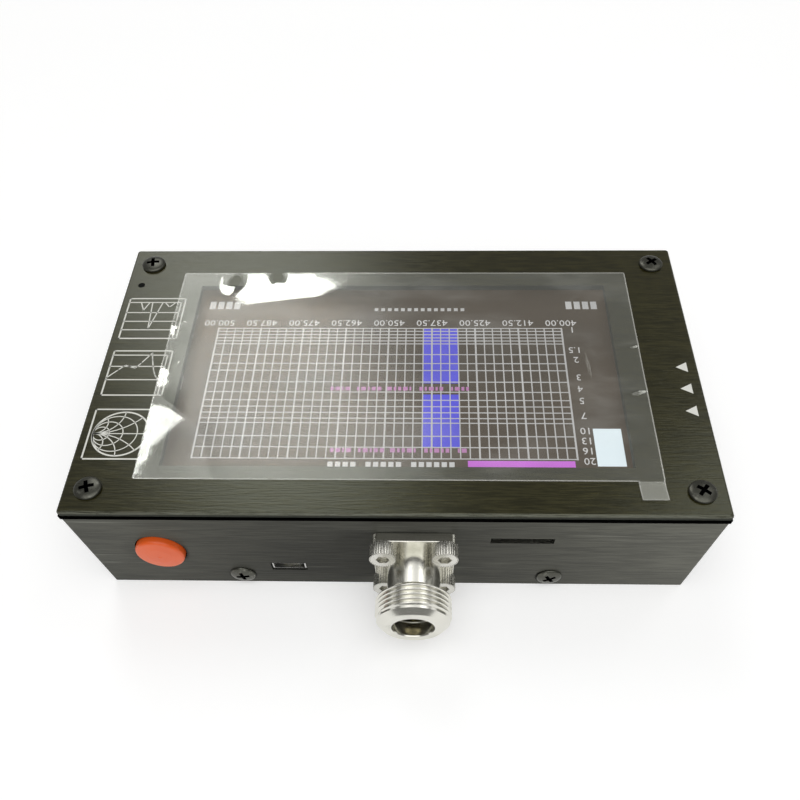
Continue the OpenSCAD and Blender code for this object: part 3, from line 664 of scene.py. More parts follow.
class Form:
    """Mesh of a piece in the making, shaped by mesh operators in millimetres."""

    def __init__(self) -> None:
        """Starts empty."""
        self.bm = bmesh.new()

    def box(self, low: Sequence[float], high: Sequence[float]) -> Points:
        """Adds a box between its lowest and its highest corner.

        Args:
            low: Lowest corner.
            high: Highest corner.

        Returns:
            Its corner points.
        """
        size = Vector(high) - Vector(low)
        middle = (Vector(high) + Vector(low)) / 2
        matrix = Matrix.Translation(middle) @ Matrix.Diagonal((*size, 1.0))
        return bmesh.ops.create_cube(self.bm, size=1.0, matrix=matrix)["verts"]

    def bar(self, start: Point, end: Point, width: float, layer: Layer) -> None:
        """Adds a straight printed line, as a thin box.

        Args:
            start: One end.
            end: Other end.
            width: Width of the line.
            layer: Heights of its underside and top.
        """
        span = Vector(end) - Vector(start)
        middle = (Vector(end) + Vector(start)) / 2
        matrix = (
            Matrix.Translation((*middle, sum(layer) / 2))
            @ Matrix.Rotation(math.atan2(span.y, span.x), 4, "Z")
            @ Matrix.Diagonal((span.length + width, width, layer[1] - layer[0], 1.0))
        )
        bmesh.ops.create_cube(self.bm, size=1.0, matrix=matrix)

    def line(self, points: Sequence[Point], width: float, layer: Layer) -> None:
        """Adds a printed line through several points."""
        for start, end in zip(points, points[1:]):
            self.bar(start, end, width, layer)

    def arc(self, centre: Point, radius: float, start: float, sweep: float, width: float,
            layer: Layer) -> None:
        """Adds a printed arc or circle by spinning the line's section.

        Args:
            centre: Middle of the circle.
            radius: Radius of the line's middle.
            start: Angle where it starts.
            sweep: Angle that it covers; a full turn closes it.
            width: Width of the line.
            layer: Heights of its underside and top.
        """
        closed = abs(sweep) > FULL_TURN - 0.001
        low, high = layer
        corners = [(-0.5, low), (0.5, low), (0.5, high), (-0.5, high)]
        reach = [(radius + side * width, level) for side, level in corners]
        verts = [
            self.bm.verts.new((centre[0] + r * math.cos(start), centre[1] + r * math.sin(start), z))
            for r, z in reach
        ]
        steps = max(3, math.ceil(abs(sweep) / math.radians(6)))
        edges = [self.bm.edges.new((verts[i], verts[(i + 1) % 4])) for i in range(4)]
        section = edges if closed else [self.bm.faces.new(verts)]
        bmesh.ops.spin(self.bm, geom=section, cent=(*centre, 0.0), axis=UPRIGHT, angle=sweep, steps=steps,
                       use_merge=closed)

    def turn(self, outline: Sequence[Point], segments: int) -> Points:
        """Adds a turned shape about the Z axis.

        Args:
            outline: Points of the section, as radius and height.
            segments: Number of steps round the axis.

        Returns:
            The points of the shape.
        """
        before = set(self.bm.verts)
        verts = [self.bm.verts.new((r, 0.0, z)) for r, z in outline]
        edges = [self.bm.edges.new(pair) for pair in zip(verts, verts[1:])]
        if outline[0][0] > 0 and outline[-1][0] > 0:
            edges.append(self.bm.edges.new((verts[-1], verts[0])))
        bmesh.ops.spin(self.bm, geom=verts + edges, axis=UPRIGHT, angle=FULL_TURN, steps=segments,
                       use_merge=True)
        made = [v for v in self.bm.verts if v not in before]
        bmesh.ops.remove_doubles(self.bm, verts=made, dist=0.0005)
        return [v for v in self.bm.verts if v not in before]

    def prism(self, points: Sequence[Point], layer: Layer) -> None:
        """Adds an upright shape over an outline.

        Args:
            points: Corners of the outline.
            layer: Heights of its underside and top.
        """
        base = self.bm.faces.new([self.bm.verts.new((x, y, layer[0])) for x, y in points])
        top = points_in(bmesh.ops.extrude_face_region(self.bm, geom=[base])["geom"])
        bmesh.ops.translate(self.bm, verts=top, vec=(0.0, 0.0, layer[1] - layer[0]))

    def soften(self, radius: float, segments: int) -> None:
        """Bevels the sharp edges.

        Args:
            radius: Width of the bevel.
            segments: Number of its steps.
        """
        bmesh.ops.recalc_face_normals(self.bm, faces=self.bm.faces)
        sharp = [e for e in self.bm.edges if e.calc_face_angle(0.0) > math.radians(40.0)]
        bmesh.ops.bevel(self.bm, geom=sharp, offset=radius, affect="EDGES", segments=segments, profile=0.5,
                        material=-1)

    def numeral(self, text: str, size: float, middle: Point, layer: Layer) -> None:
        """Adds a number that reads from the far side, as the display shows it.

        Args:
            text: Digits of the number.
            size: Height of the digits.
            middle: Middle of the number.
            layer: Heights of its underside and top.
        """
        curve = bpy.data.curves.new("numeral", "FONT")
        curve.body = text
        curve.size = size
        curve.align_x = "CENTER"
        curve.align_y = "CENTER"
        curve.resolution_u = 2
        curve.extrude = (layer[1] - layer[0]) / 2
        holder = bpy.data.objects.new("numeral", curve)
        bpy.context.scene.collection.objects.link(holder)
        evaluated = holder.evaluated_get(bpy.context.evaluated_depsgraph_get())
        mesh = bpy.data.meshes.new_from_object(evaluated)
        mesh.transform(Matrix.Translation((*middle, sum(layer) / 2)) @ Matrix.Rotation(math.pi, 4, "Z"))
        self.bm.from_mesh(mesh)
        bpy.data.objects.remove(holder)
        bpy.data.curves.remove(curve)
        bpy.data.meshes.remove(mesh)

    def move(self, verts: Iterable[bmesh.types.BMVert], matrix: Matrix) -> None:
        """Moves and turns some points."""
        bmesh.ops.transform(self.bm, matrix=matrix, verts=list(verts))

    def join(self, other: "Form") -> None:
        """Adds the mesh of another shape.

        Args:
            other: Shape that is added; it stays as it is.
        """
        passing = other.holder()
        self.bm.from_mesh(passing.data)
        discard(passing)

    def cut(self, tool: "Form") -> None:
        """Takes another shape out of this one.

        Args:
            tool: Closed shape that is taken out; it is used up.
        """
        for form in (self, tool):
            bmesh.ops.recalc_face_normals(form.bm, faces=form.bm.faces)
        kept, taken = (form.holder() for form in (self, tool))
        modifier = kept.modifiers.new("cut", "BOOLEAN")
        modifier.object = taken
        modifier.operation = "DIFFERENCE"
        modifier.solver = "EXACT"
        evaluated = kept.evaluated_get(bpy.context.evaluated_depsgraph_get())
        mesh = bpy.data.meshes.new_from_object(evaluated)
        self.bm.clear()
        self.bm.from_mesh(mesh)
        for used in (kept, taken):
            discard(used)
        bpy.data.meshes.remove(mesh)

    def holder(self) -> Node:
        """Gives a passing object with this mesh.

        Returns:
            The object, linked to the scene.
        """
        mesh = bpy.data.meshes.new("passing")
        self.bm.to_mesh(mesh)
        holder = bpy.data.objects.new("passing", mesh)
        bpy.context.scene.collection.objects.link(holder)
        return holder

    def piece(self, name: str, finish: Finish, slot: str, stands_for: str = "", crease: float = 32.0) -> Node:
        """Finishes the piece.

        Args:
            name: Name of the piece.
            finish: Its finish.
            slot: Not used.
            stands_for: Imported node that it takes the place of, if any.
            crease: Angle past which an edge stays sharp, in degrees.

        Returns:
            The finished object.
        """
        bmesh.ops.recalc_face_normals(self.bm, faces=self.bm.faces)
        for face in self.bm.faces:
            face.smooth = True
        for edge in self.bm.edges:
            edge.smooth = edge.calc_face_angle(0.0) < math.radians(crease)
        bmesh.ops.scale(self.bm, vec=(MM, MM, MM), verts=self.bm.verts)
        mesh = bpy.data.meshes.new(name)
        self.bm.to_mesh(mesh)
        self.bm.free()
        made = bpy.data.objects.new(name, mesh)
        made.data.materials.append(finish.material())
        bpy.context.scene.collection.objects.link(made)
        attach(made, CASE)
        if stands_for:
            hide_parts(stands_for)
        LOG.info("%s: %d faces, stands for %s", name, len(mesh.polygons), stands_for or "nothing")
        return made


def facing_matrix(facing: Facing, foot: Vector) -> Matrix:
    """Turns what points up towards a side and stands it on a point."""
    return Matrix.Translation(foot) @ Matrix.Rotation(facing.value, 4, "X")


# ---- Sub-assemblies ----


@dataclass
class Housing:
    """Case, front plate, boards and everything that only needs a finish."""

    def dress(self, nodes: dict[str, Node]) -> None:
        """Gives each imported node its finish.

        Args:
            nodes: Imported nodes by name.
        """
        finishes = {
            PLATE: ["front_plate"],
            WALLS: ["case_body", "bottom_cover"],
            GASKET: ["display_gasket"],
            TOUCH: ["touch_panel"],
            SHEET_STEEL: ["display_frame", "rf_shield", "usb_socket", "card_socket"],
            CELL: ["display_cell"],
            LIGHT_GUIDE: ["display_light_guide"],
            FOAM: ["display_tape", "battery_tape"],
            BOARD: ["display_board", "main_board"],
            LAMP: ["charge_led"],
            CHIP: ["processor_chip"],
            POUCH: ["battery_pack"],
            SWITCH: ["power_switch"],
            PLUNGER: ["switch_plunger"],
            BUTTON_RED: ["power_button"],
            NICKEL: ["antenna_socket"],
            INSULATOR: ["antenna_insulator"],
            GOLD: ["antenna_contact", "signal_strap"],
            FILM: ["screen_film"],
            SCREW: four("plate_screw") + four("cover_screw"),
            STEEL: four("flange_screw"),
            ZINC: four("flange_nut") + four("board_screw"),
            BRASS: four("lower_spacer") + four("upper_spacer"),
        }
        for finish, names in finishes.items():
            for name in names:
                materials = nodes[name].data.materials
                materials.clear()
                materials.append(finish.material())
            LOG.info("%s on %s", finish.name, ", ".join(names))


@dataclass
class RoundScrews:
    """Black round-headed screws with a cross recess, painted near-black inside as shade."""

    head_r: float = 2.8
    head_h: float = 1.0
    side_h: float = 0.35
    shank_r: float = 1.45
    recess_reach: float = 1.95
    recess_w: float = 0.95
    recess_l: float = 0.9
    recess_taper: Sequence[float] = (0.62, 0.75, 1.0)
    chamfer: float = 0.12
    steps: int = 40
    turns: Sequence[float] = (18.0, 52.0, 35.0, 8.0)

    def build(self) -> None:
        """Makes the screws of the front plate and of the two long walls."""
        for node, turn in zip(four("plate_screw"), self.turns):
            low, high = mm_box(node)
            foot = Vector(((low.x + high.x) / 2, (low.y + high.y) / 2, high.z - self.head_h))
            self.screw(node, facing_matrix(Facing.UP, foot), high.z - low.z - self.head_h, turn)
        for node, turn in zip(four("cover_screw"), reversed(self.turns)):
            low, high = mm_box(node)
            facing = Facing.NEAR if low.y < 0 else Facing.FAR
            wall = low.y + self.head_h if facing is Facing.NEAR else high.y - self.head_h
            foot = Vector(((low.x + high.x) / 2, wall, (low.z + high.z) / 2))
            self.screw(node, facing_matrix(facing, foot), high.y - low.y - self.head_h, turn)

    def screw(self, node: str, matrix: Matrix, length: float, turn: float) -> None:
        """Makes one screw.

        Args:
            node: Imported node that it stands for.
            matrix: Place of the underside of its head.
            length: Length of its shank.
            turn: Turn of its recess, in degrees.
        """
        head = Form()
        rise = self.head_h - self.side_h
        dome = [
            (self.head_r * math.cos(a), self.side_h + rise * math.sin(a))
            for a in (math.radians(d) for d in range(0, 90, 9))
        ]
        head.turn([
            (0.0, -length), (self.shank_r, -length), (self.shank_r, 0.0), (self.head_r - self.chamfer, 0.0),
            (self.head_r, self.chamfer), *dome, (0.0, self.head_h),
        ], self.steps)
        floor = self.head_h - self.recess_l
        for quarter in (0, 1):
            recess = Form()
            slot = recess.box((-self.recess_reach, -self.recess_w / 2, floor),
                              (self.recess_reach, self.recess_w / 2, self.head_h + 1.0))
            bottom = [v for v in slot if v.co.z < self.head_h]
            bmesh.ops.scale(recess.bm, vec=self.recess_taper, verts=bottom)
            recess.move(slot, Matrix.Rotation(quarter * math.pi / 2 + math.radians(turn), 4, "Z"))
            head.cut(recess)
        # Faces inside the recess take the second finish, a near-black painted shade.
        for face in head.bm.faces:
            middle = face.calc_center_median()
            reach = min(middle.xy.length / self.head_r, 1.0)
            surface = self.side_h + rise * math.sqrt(1.0 - reach * reach)
            if 0.0 < middle.z < surface - 0.1 and reach < 0.75:
                face.material_index = 1
        head.move(head.bm.verts, matrix)
        made = head.piece(f"{node}_recessed", SCREW, "black_screw", stands_for=node)
        # Second finish: the painted shade inside the recess.
        made.data.materials.append(PAINTED_SHADE.material())


@dataclass
class AntennaSocket:
    """Coaxial socket with its flange, neck, turned thread and stepped bore."""

    flange_t: float = 2.2
    flange_corner_r: float = 1.4
    neck_r: float = 5.6
    thread_start: float = 10.9
    thread_r: float = 7.94
    root_r: float = 7.38
    pitch: float = 1.02
    turns: int = 5
    collar_r: float = 7.6
    nose_r: float = 6.3
    mouth_r: float = 4.37
    mouth_l: float = 3.2
    bore_r: float = 4.06
    boss_r: float = 5.0
    boss_bore_r: float = 3.8
    boss_l: float = 3.4
    screw_hole_r: float = 1.65
    screw_spacing: float = 12.7
    play: float = 0.02

    def build(self) -> None:
        """Makes the socket in place of its plain solid."""
        low, high = mm_box("antenna_socket")
        wall_y = high.y - self.boss_l
        length = wall_y - low.y
        middle = Vector(((low.x + high.x) / 2, wall_y, (low.z + high.z) / 2))
        body = Form()
        self.flange(body, high.x - low.x)
        self.barrel(body, length)
        self.thread(body)
        body.move(body.bm.verts, facing_matrix(Facing.NEAR, middle))
        body.piece("antenna_socket_turned", NICKEL, "nickel", stands_for="antenna_socket", crease=19.0)

    def flange(self, body: Form, width: float) -> None:
        """Adds the square flange with its four holes.

        Args:
            body: Shape of the socket.
            width: Width of the flange.
        """
        flange = Form()
        half = width / 2 - self.flange_corner_r
        centres = [(half, half, 0), (-half, half, 90), (-half, -half, 180), (half, -half, 270)]
        outline = [
            (x + self.flange_corner_r * math.cos(math.radians(start + step)),
             y + self.flange_corner_r * math.sin(math.radians(start + step)))
            for x, y, start in centres for step in range(0, 91, 15)
        ]
        flange.prism(outline, (0.0, self.flange_t))
        flange.soften(0.18, 2)
        reach = self.screw_spacing / 2
        for x in (-reach, reach):
            for y in (-reach, reach):
                self.drill(flange, self.screw_hole_r, 24, (x, y, 0.0))
        self.drill(flange, self.bore_r + self.play, 48, (0.0, 0.0, 0.0))
        body.join(flange)

    @staticmethod
    def drill(flange: Form, radius: float, steps: int, place: Sequence[float]) -> None:
        """Takes a round hole out of the flange.

        Args:
            flange: Shape of the flange.
            radius: Radius of the hole.
            steps: Number of steps round it.
            place: Where it goes.
        """
        bit = Form()
        verts = bit.turn([(0.0, -1.0), (radius, -1.0), (radius, 4.0), (0.0, 4.0)], steps)
        bit.move(verts, Matrix.Translation(place))
        flange.cut(bit)

    def barrel(self, body: Form, length: float) -> None:
        """Adds the turned barrel from the boss behind the flange to the mouth.

        Args:
            body: Shape of the socket.
            length: Distance from the wall to the mouth's face.
        """
        thread = self.thread_start
        thread_end = thread + self.pitch * self.turns
        body.turn([
            (self.boss_bore_r, -self.boss_l),
            (self.boss_r - 0.15, -self.boss_l),
            (self.boss_r, -self.boss_l + 0.15),
            (self.boss_r, 0.6),
            (self.neck_r, 0.8),
            (self.neck_r, thread - 1.2),
            (self.neck_r + 0.25, thread - 0.75),
            (self.root_r - 0.3, thread - 0.1),
            (self.root_r, thread + 0.15),
            (self.root_r, thread_end - 0.35),
            (self.collar_r - 0.25, thread_end - 0.3),
            (self.collar_r, thread_end - 0.12),
            (self.collar_r, thread_end + 0.4),
            (self.nose_r + 0.25, length - 0.25),
            (self.nose_r, length - 0.06),
            (self.nose_r - 0.15, length),
            (self.mouth_r + 0.35, length),
            (self.mouth_r + 0.1, length - 0.08),
            (self.mouth_r, length - 0.35),
            (self.mouth_r, length - self.mouth_l),
            (self.bore_r, length - self.mouth_l - 0.1),
            (self.bore_r, 0.0),
            (self.boss_bore_r, 0.0),
        ], 96)

    def thread(self, body: Form) -> None:
        """Adds the thread as one ridge that winds round the barrel.

        Args:
            body: Shape of the socket.
        """
        steps = 64
        base = self.root_r - 0.15
        foot = self.root_r + 0.04
        section = [(base, 0.0), (foot, 0.07), (self.thread_r, self.pitch * 0.42),
                   (self.thread_r, self.pitch * 0.56), (foot, self.pitch * 0.93), (base, self.pitch)]
        verts = [body.bm.verts.new((r, 0.0, self.thread_start + z - 0.2)) for r, z in section]
        wound = self.turns - 0.6
        rise = (0.0, 0.0, self.pitch / steps)
        bmesh.ops.spin(body.bm, geom=[body.bm.faces.new(verts)], axis=UPRIGHT, dvec=rise,
                       angle=FULL_TURN * wound, steps=round(steps * wound), use_merge=False)


@dataclass
class PaintedSeamShadow:
    """Painted shadow all round, in the gap between the front plate and the case."""

    gap: float = 1.1
    proud: float = 0.03
    deep: float = 0.5

    def build(self) -> None:
        """Makes the painted shadow of the gap as a thin near-black loop."""
        low, high = mm_box("case_body")
        level = mm_box("front_plate")[0].z
        form = Form()
        outer = form.box((low.x - self.proud, low.y - self.proud, level - self.gap),
                         (high.x + self.proud, high.y + self.proud, level + 0.04))
        caps = [f for f in {f for v in outer for f in v.link_faces} if abs(f.normal.z) > 0.9]
        bmesh.ops.delete(form.bm, geom=caps, context="FACES_ONLY")
        bmesh.ops.solidify(form.bm, geom=form.bm.faces[:], thickness=self.deep)
        # The loop is painted shadow, standing a little proud of the walls.
        form.piece("plate_seam_shadow", PAINTED_SHADE, "gasket_black", crease=20.0)


@dataclass
class PanelPrint:
    """White print on the front plate: three small graph signs and three arrows."""

    line_w: float = 0.36
    thick: float = 0.03
    left: float = -64.5
    side: float = 13.4
    far_edges: Sequence[float] = (21.9, 4.5, -13.0)
    arrow_tip_x: float = 61.6
    arrow_l: float = 2.5
    arrow_w: float = 2.9
    arrow_rows: Sequence[float] = (-0.26, -6.57, -12.92)

    def build(self) -> None:
        """Makes the signs and the arrows."""
        top = mm_box("front_plate")[1].z
        self.layer = (top, top + self.thick)
        self.dip_sign(self.far_edges[0])
        self.peak_sign(self.far_edges[1])
        self.circle_sign(self.far_edges[2])
        self.arrows()

    def spot(self, far: float, across: float, down: float) -> Point:
        """Gives a place in a sign, from its far edge and shares of its width and depth."""
        return self.left + across * self.side, far - down * self.side

    def stroke(self, form: Form, far: float, shares: Sequence[Point], width: float) -> None:
        """Adds a line through places given as shares of a sign."""
        form.line([self.spot(far, across, down) for across, down in shares], self.line_w * width, self.layer)

    def rim(self, far: float) -> Form:
        """Starts a sign with its square rim.

        Args:
            far: The sign's far edge.

        Returns:
            The sign's shape.
        """
        form = Form()
        self.stroke(form, far, [(0, 0), (1, 0), (1, 1), (0, 1), (0, 0)], 1.0)
        return form

    def graph(self, far: float, rows: Sequence[float]) -> Form:
        """Starts a sign with its rim, its inner lines on the far and right sides, and its rows.

        Args:
            far: The sign's far edge.
            rows: Places of the rows, as shares of its depth.

        Returns:
            The sign's shape.
        """
        form = self.rim(far)
        inner, start = 0.93, 0.10
        for line in ([(0, start), (inner, start)], [(inner, start), (inner, 1.0)],
                     *([(0, row), (inner, row)] for row in rows)):
            self.stroke(form, far, line, 0.8)
        return form

    def dip_sign(self, far: float) -> None:
        """Makes the sign with a deep dip between two shallow ones.

        Args:
            far: Its far edge.
        """
        form = self.graph(far, (0.36, 0.58, 0.79))
        dips = ((0.22, 0.29, 0.36, 0.30), (0.42, 0.46, 0.60, 0.77), (0.66, 0.74, 0.82, 0.22))
        for start, low, end, depth in dips:
            self.stroke(form, far, [(start, 0.12), (low, depth), (end, 0.12)], 0.75)
        form.piece("dip_sign", PRINT, "plate_black")

    def peak_sign(self, far: float) -> None:
        """Makes the sign with a sharp peak that falls off to the right.

        Args:
            far: Its far edge.
        """
        form = self.graph(far, (0.36, 0.66))
        peak = (0.66, 0.05)
        rise = [(0.0, 0.62), (0.16, 0.44), (0.26, 0.33), (0.35, 0.37), (0.44, 0.40), (0.52, 0.28), peak]
        fall = [(peak[0] + 0.24 * t, peak[1] + 0.61 * (1 - (1 - t) ** 2)) for t in (i / 7 for i in range(8))]
        for curve in (rise, fall):
            self.stroke(form, far, curve, 0.75)
        form.piece("peak_sign", PRINT, "plate_black")

    def circle_sign(self, far: float) -> None:
        """Makes the sign with the circles and arcs of an impedance chart.

        Args:
            far: Its far edge.
        """
        form = self.rim(far)
        x, y = self.spot(far, 0.5, 0.5)
        radius = 0.44 * self.side
        thin = self.line_w * 0.6
        form.arc((x, y), radius, 0.0, FULL_TURN, self.line_w, self.layer)
        form.bar((x - radius, y), (x + radius, y), thin, self.layer)
        for share in (0.80, 0.54, 0.3):
            form.arc((x - radius * (1 - share), y), radius * share, 0.0, FULL_TURN, thin, self.layer)
        for reactance in (0.45, 1.0, 2.2):
            bend = radius * (1.0 / reactance)
            sweep = 2 * math.atan(reactance)
            for side in (-1, 1):
                centre = (x - radius, y + side * bend)
                form.arc(centre, bend, -side * math.pi / 2, side * sweep, thin, self.layer)
        form.piece("circle_sign", PRINT, "plate_black")

    def arrows(self) -> None:
        """Makes the three solid arrows, one at each band of the panel."""
        form = Form()
        for row in self.arrow_rows:
            back = self.arrow_tip_x + self.arrow_l
            sides = [(back, row - self.arrow_w / 2), (back, row + self.arrow_w / 2)]
            form.prism([(self.arrow_tip_x, row), *sides], self.layer)
        form.piece("band_arrows", PRINT, "plate_black")


@dataclass
class Picture:
    """What the display shows: a graph's grid, a marked band, numbers and bars."""

    left: float = -43.1
    right: float = 38.5
    near: float = -23.5
    far: float = 15.4
    columns: int = 8
    steps: int = 5
    line_w: float = 0.26
    band: Point = (5.9, 14.1)
    rows: Sequence[float] = (0.0, 0.025, 0.054, 0.081, 0.107, 0.132, 0.221, 0.294, 0.350, 0.441, 0.519, 0.581,
                             0.629, 0.674, 0.716, 0.750, 0.844, 0.922, 1.0)
    note_rows: Sequence[float] = (-3.8, -21.3)
    note_ends: Sequence[Point] = ((-14.9, 16.3), (-13.7, 16.0))
    note_h: float = 1.1
    note_gap: float = 0.42
    number_h: float = 2.75
    scale_h: float = 2.6
    scale: Sequence[Point] = ((1.0, 0.0), (1.5, 0.17), (2.0, 0.25), (3.0, 0.39), (4.0, 0.48), (5.0, 0.57),
                              (7.0, 0.68), (10.0, 0.79), (13.0, 0.86), (16.0, 0.93), (20.0, 1.0))

    def build(self) -> None:
        """Makes the lit pieces just over the display's glass."""
        self.level = mm_box("display_cell")[1].z + 0.02
        note = self.note_rows[0]
        self.lit("display_band", INK_BLUE, [
            (self.band, (note + 1.7, self.far)),
            (self.band, (self.row_y(0.922), note - 1.7)),
        ], 0)
        self.grid()
        self.lit("display_notes", INK_PINK, self.dashes())
        self.lit("display_caption", INK_NUMBER, self.blocks(-14.0, 1.1, (-25.7, -24.4), 17, (4, 10)))
        self.lit("display_bar", INK_PURPLE, [((15.5, 37.9), (-25.6, -24.0))])
        self.lit("display_block", INK_PALE, [((42.5, 48.5), (-25.3, -15.2))])
        self.numbers()
        buttons = [self.blocks(left, 1.45, (22.0, 24.6), 4, pitch=2.0) for left in (40.2, -46.4)]
        middle = self.blocks(-6.0, 0.9, (21.3, 22.3), 14)
        self.lit("display_menu_bars", INK_WHITE, [*buttons[0], *buttons[1], *middle])

    def layer(self, order: int) -> Layer:
        """Gives the underside and the top of a layer of lit pieces."""
        low = self.level + 0.03 * order
        return low, low + 0.02

    def lit(self, name: str, ink: LitInk, strips: Iterable[Strip], order: int = 2) -> None:
        """Makes a piece of flat rectangles.

        Args:
            name: Name of the piece.
            ink: Its finish.
            strips: Ends of each rectangle along X and along Y.
            order: Layer that it lies in.
        """
        form = Form()
        low, high = self.layer(order)
        for x, y in strips:
            form.box((x[0], y[0], low), (x[1], y[1], high))
        form.piece(name, ink, "display_glass")

    @staticmethod
    def blocks(start: float, width: float, y: Point, count: int, gaps: Sequence[int] = (),
               pitch: float = 1.6) -> list[Strip]:
        """Gives a row of blocks.

        Args:
            start: Left end of the row.
            width: Width of a block.
            y: Ends of the row along Y.
            count: Number of places.
            gaps: Places that stay free.
            pitch: Distance from one place to the next.

        Returns:
            The ends of each block along X and along Y.
        """
        places = [start + i * pitch for i in range(count) if i not in gaps]
        return [((x, x + width), y) for x in places]

    def row_y(self, share: float) -> float:
        """Gives the place of a grid row, from its share of the grid's depth."""
        return self.far - share * (self.far - self.near)

    def grid(self) -> None:
        """Makes the white grid, with its denser rows as on a logarithmic scale."""
        form = Form()
        layer = self.layer(1)
        count = self.columns * self.steps
        for i in range(count + 1):
            x = self.left + (self.right - self.left) * i / count
            width = self.line_w if i % self.steps else self.line_w * 1.5
            form.bar((x, self.near), (x, self.far), width, layer)
        for y in map(self.row_y, self.rows):
            form.bar((self.left, y), (self.right, y), self.line_w, layer)
        form.piece("display_grid", INK_WHITE, "display_glass")

    def dashes(self) -> Iterable[Strip]:
        """Gives the dashes of the two notes.

        Yields:
            The ends of each dash along X and along Y.
        """
        for row, (x, end) in zip(self.note_rows, self.note_ends):
            for i in range(40):
                length = 0.75 + 0.35 * math.sin(2.4 * i)
                if x + length > end:
                    break
                if i % 6 != 4:
                    yield (x, x + length), (row - self.note_h / 2, row + self.note_h / 2)
                x += length + self.note_gap

    def numbers(self) -> None:
        """Makes the numbers along the two axes of the graph."""
        form = Form()
        layer = self.layer(2)
        for i in range(self.columns + 1):
            x = self.right - (self.right - self.left) * i / self.columns
            form.numeral(f"{400 + 12.5 * i:.2f}", self.number_h, (x, self.far + 1.9), layer)
        for number, share in self.scale:
            form.numeral(f"{number:g}", self.scale_h, (self.right + 2.5, self.row_y(share) - 0.4), layer)
        form.piece("display_numbers", INK_NUMBER, "display_glass")


@dataclass(frozen=True)
class Swell:
    """A place where the film stands off the plate."""

    x: float
    y: float
    reach_x: float
    reach_y: float
    height: float
    turn: float = 0.0

    def at(self, x: float, y: float) -> float:
        """Gives the swell's height at a place.

        Args:
            x: Place across the film.
            y: Place along it.

        Returns:
            The height, largest in the swell's middle.
        """
        angle = math.radians(self.turn)
        dx, dy = x - self.x, y - self.y
        u = (dx * math.cos(angle) + dy * math.sin(angle)) / self.reach_x
        v = (dy * math.cos(angle) - dx * math.sin(angle)) / self.reach_y
        return self.height * math.exp(-(u * u + v * v))


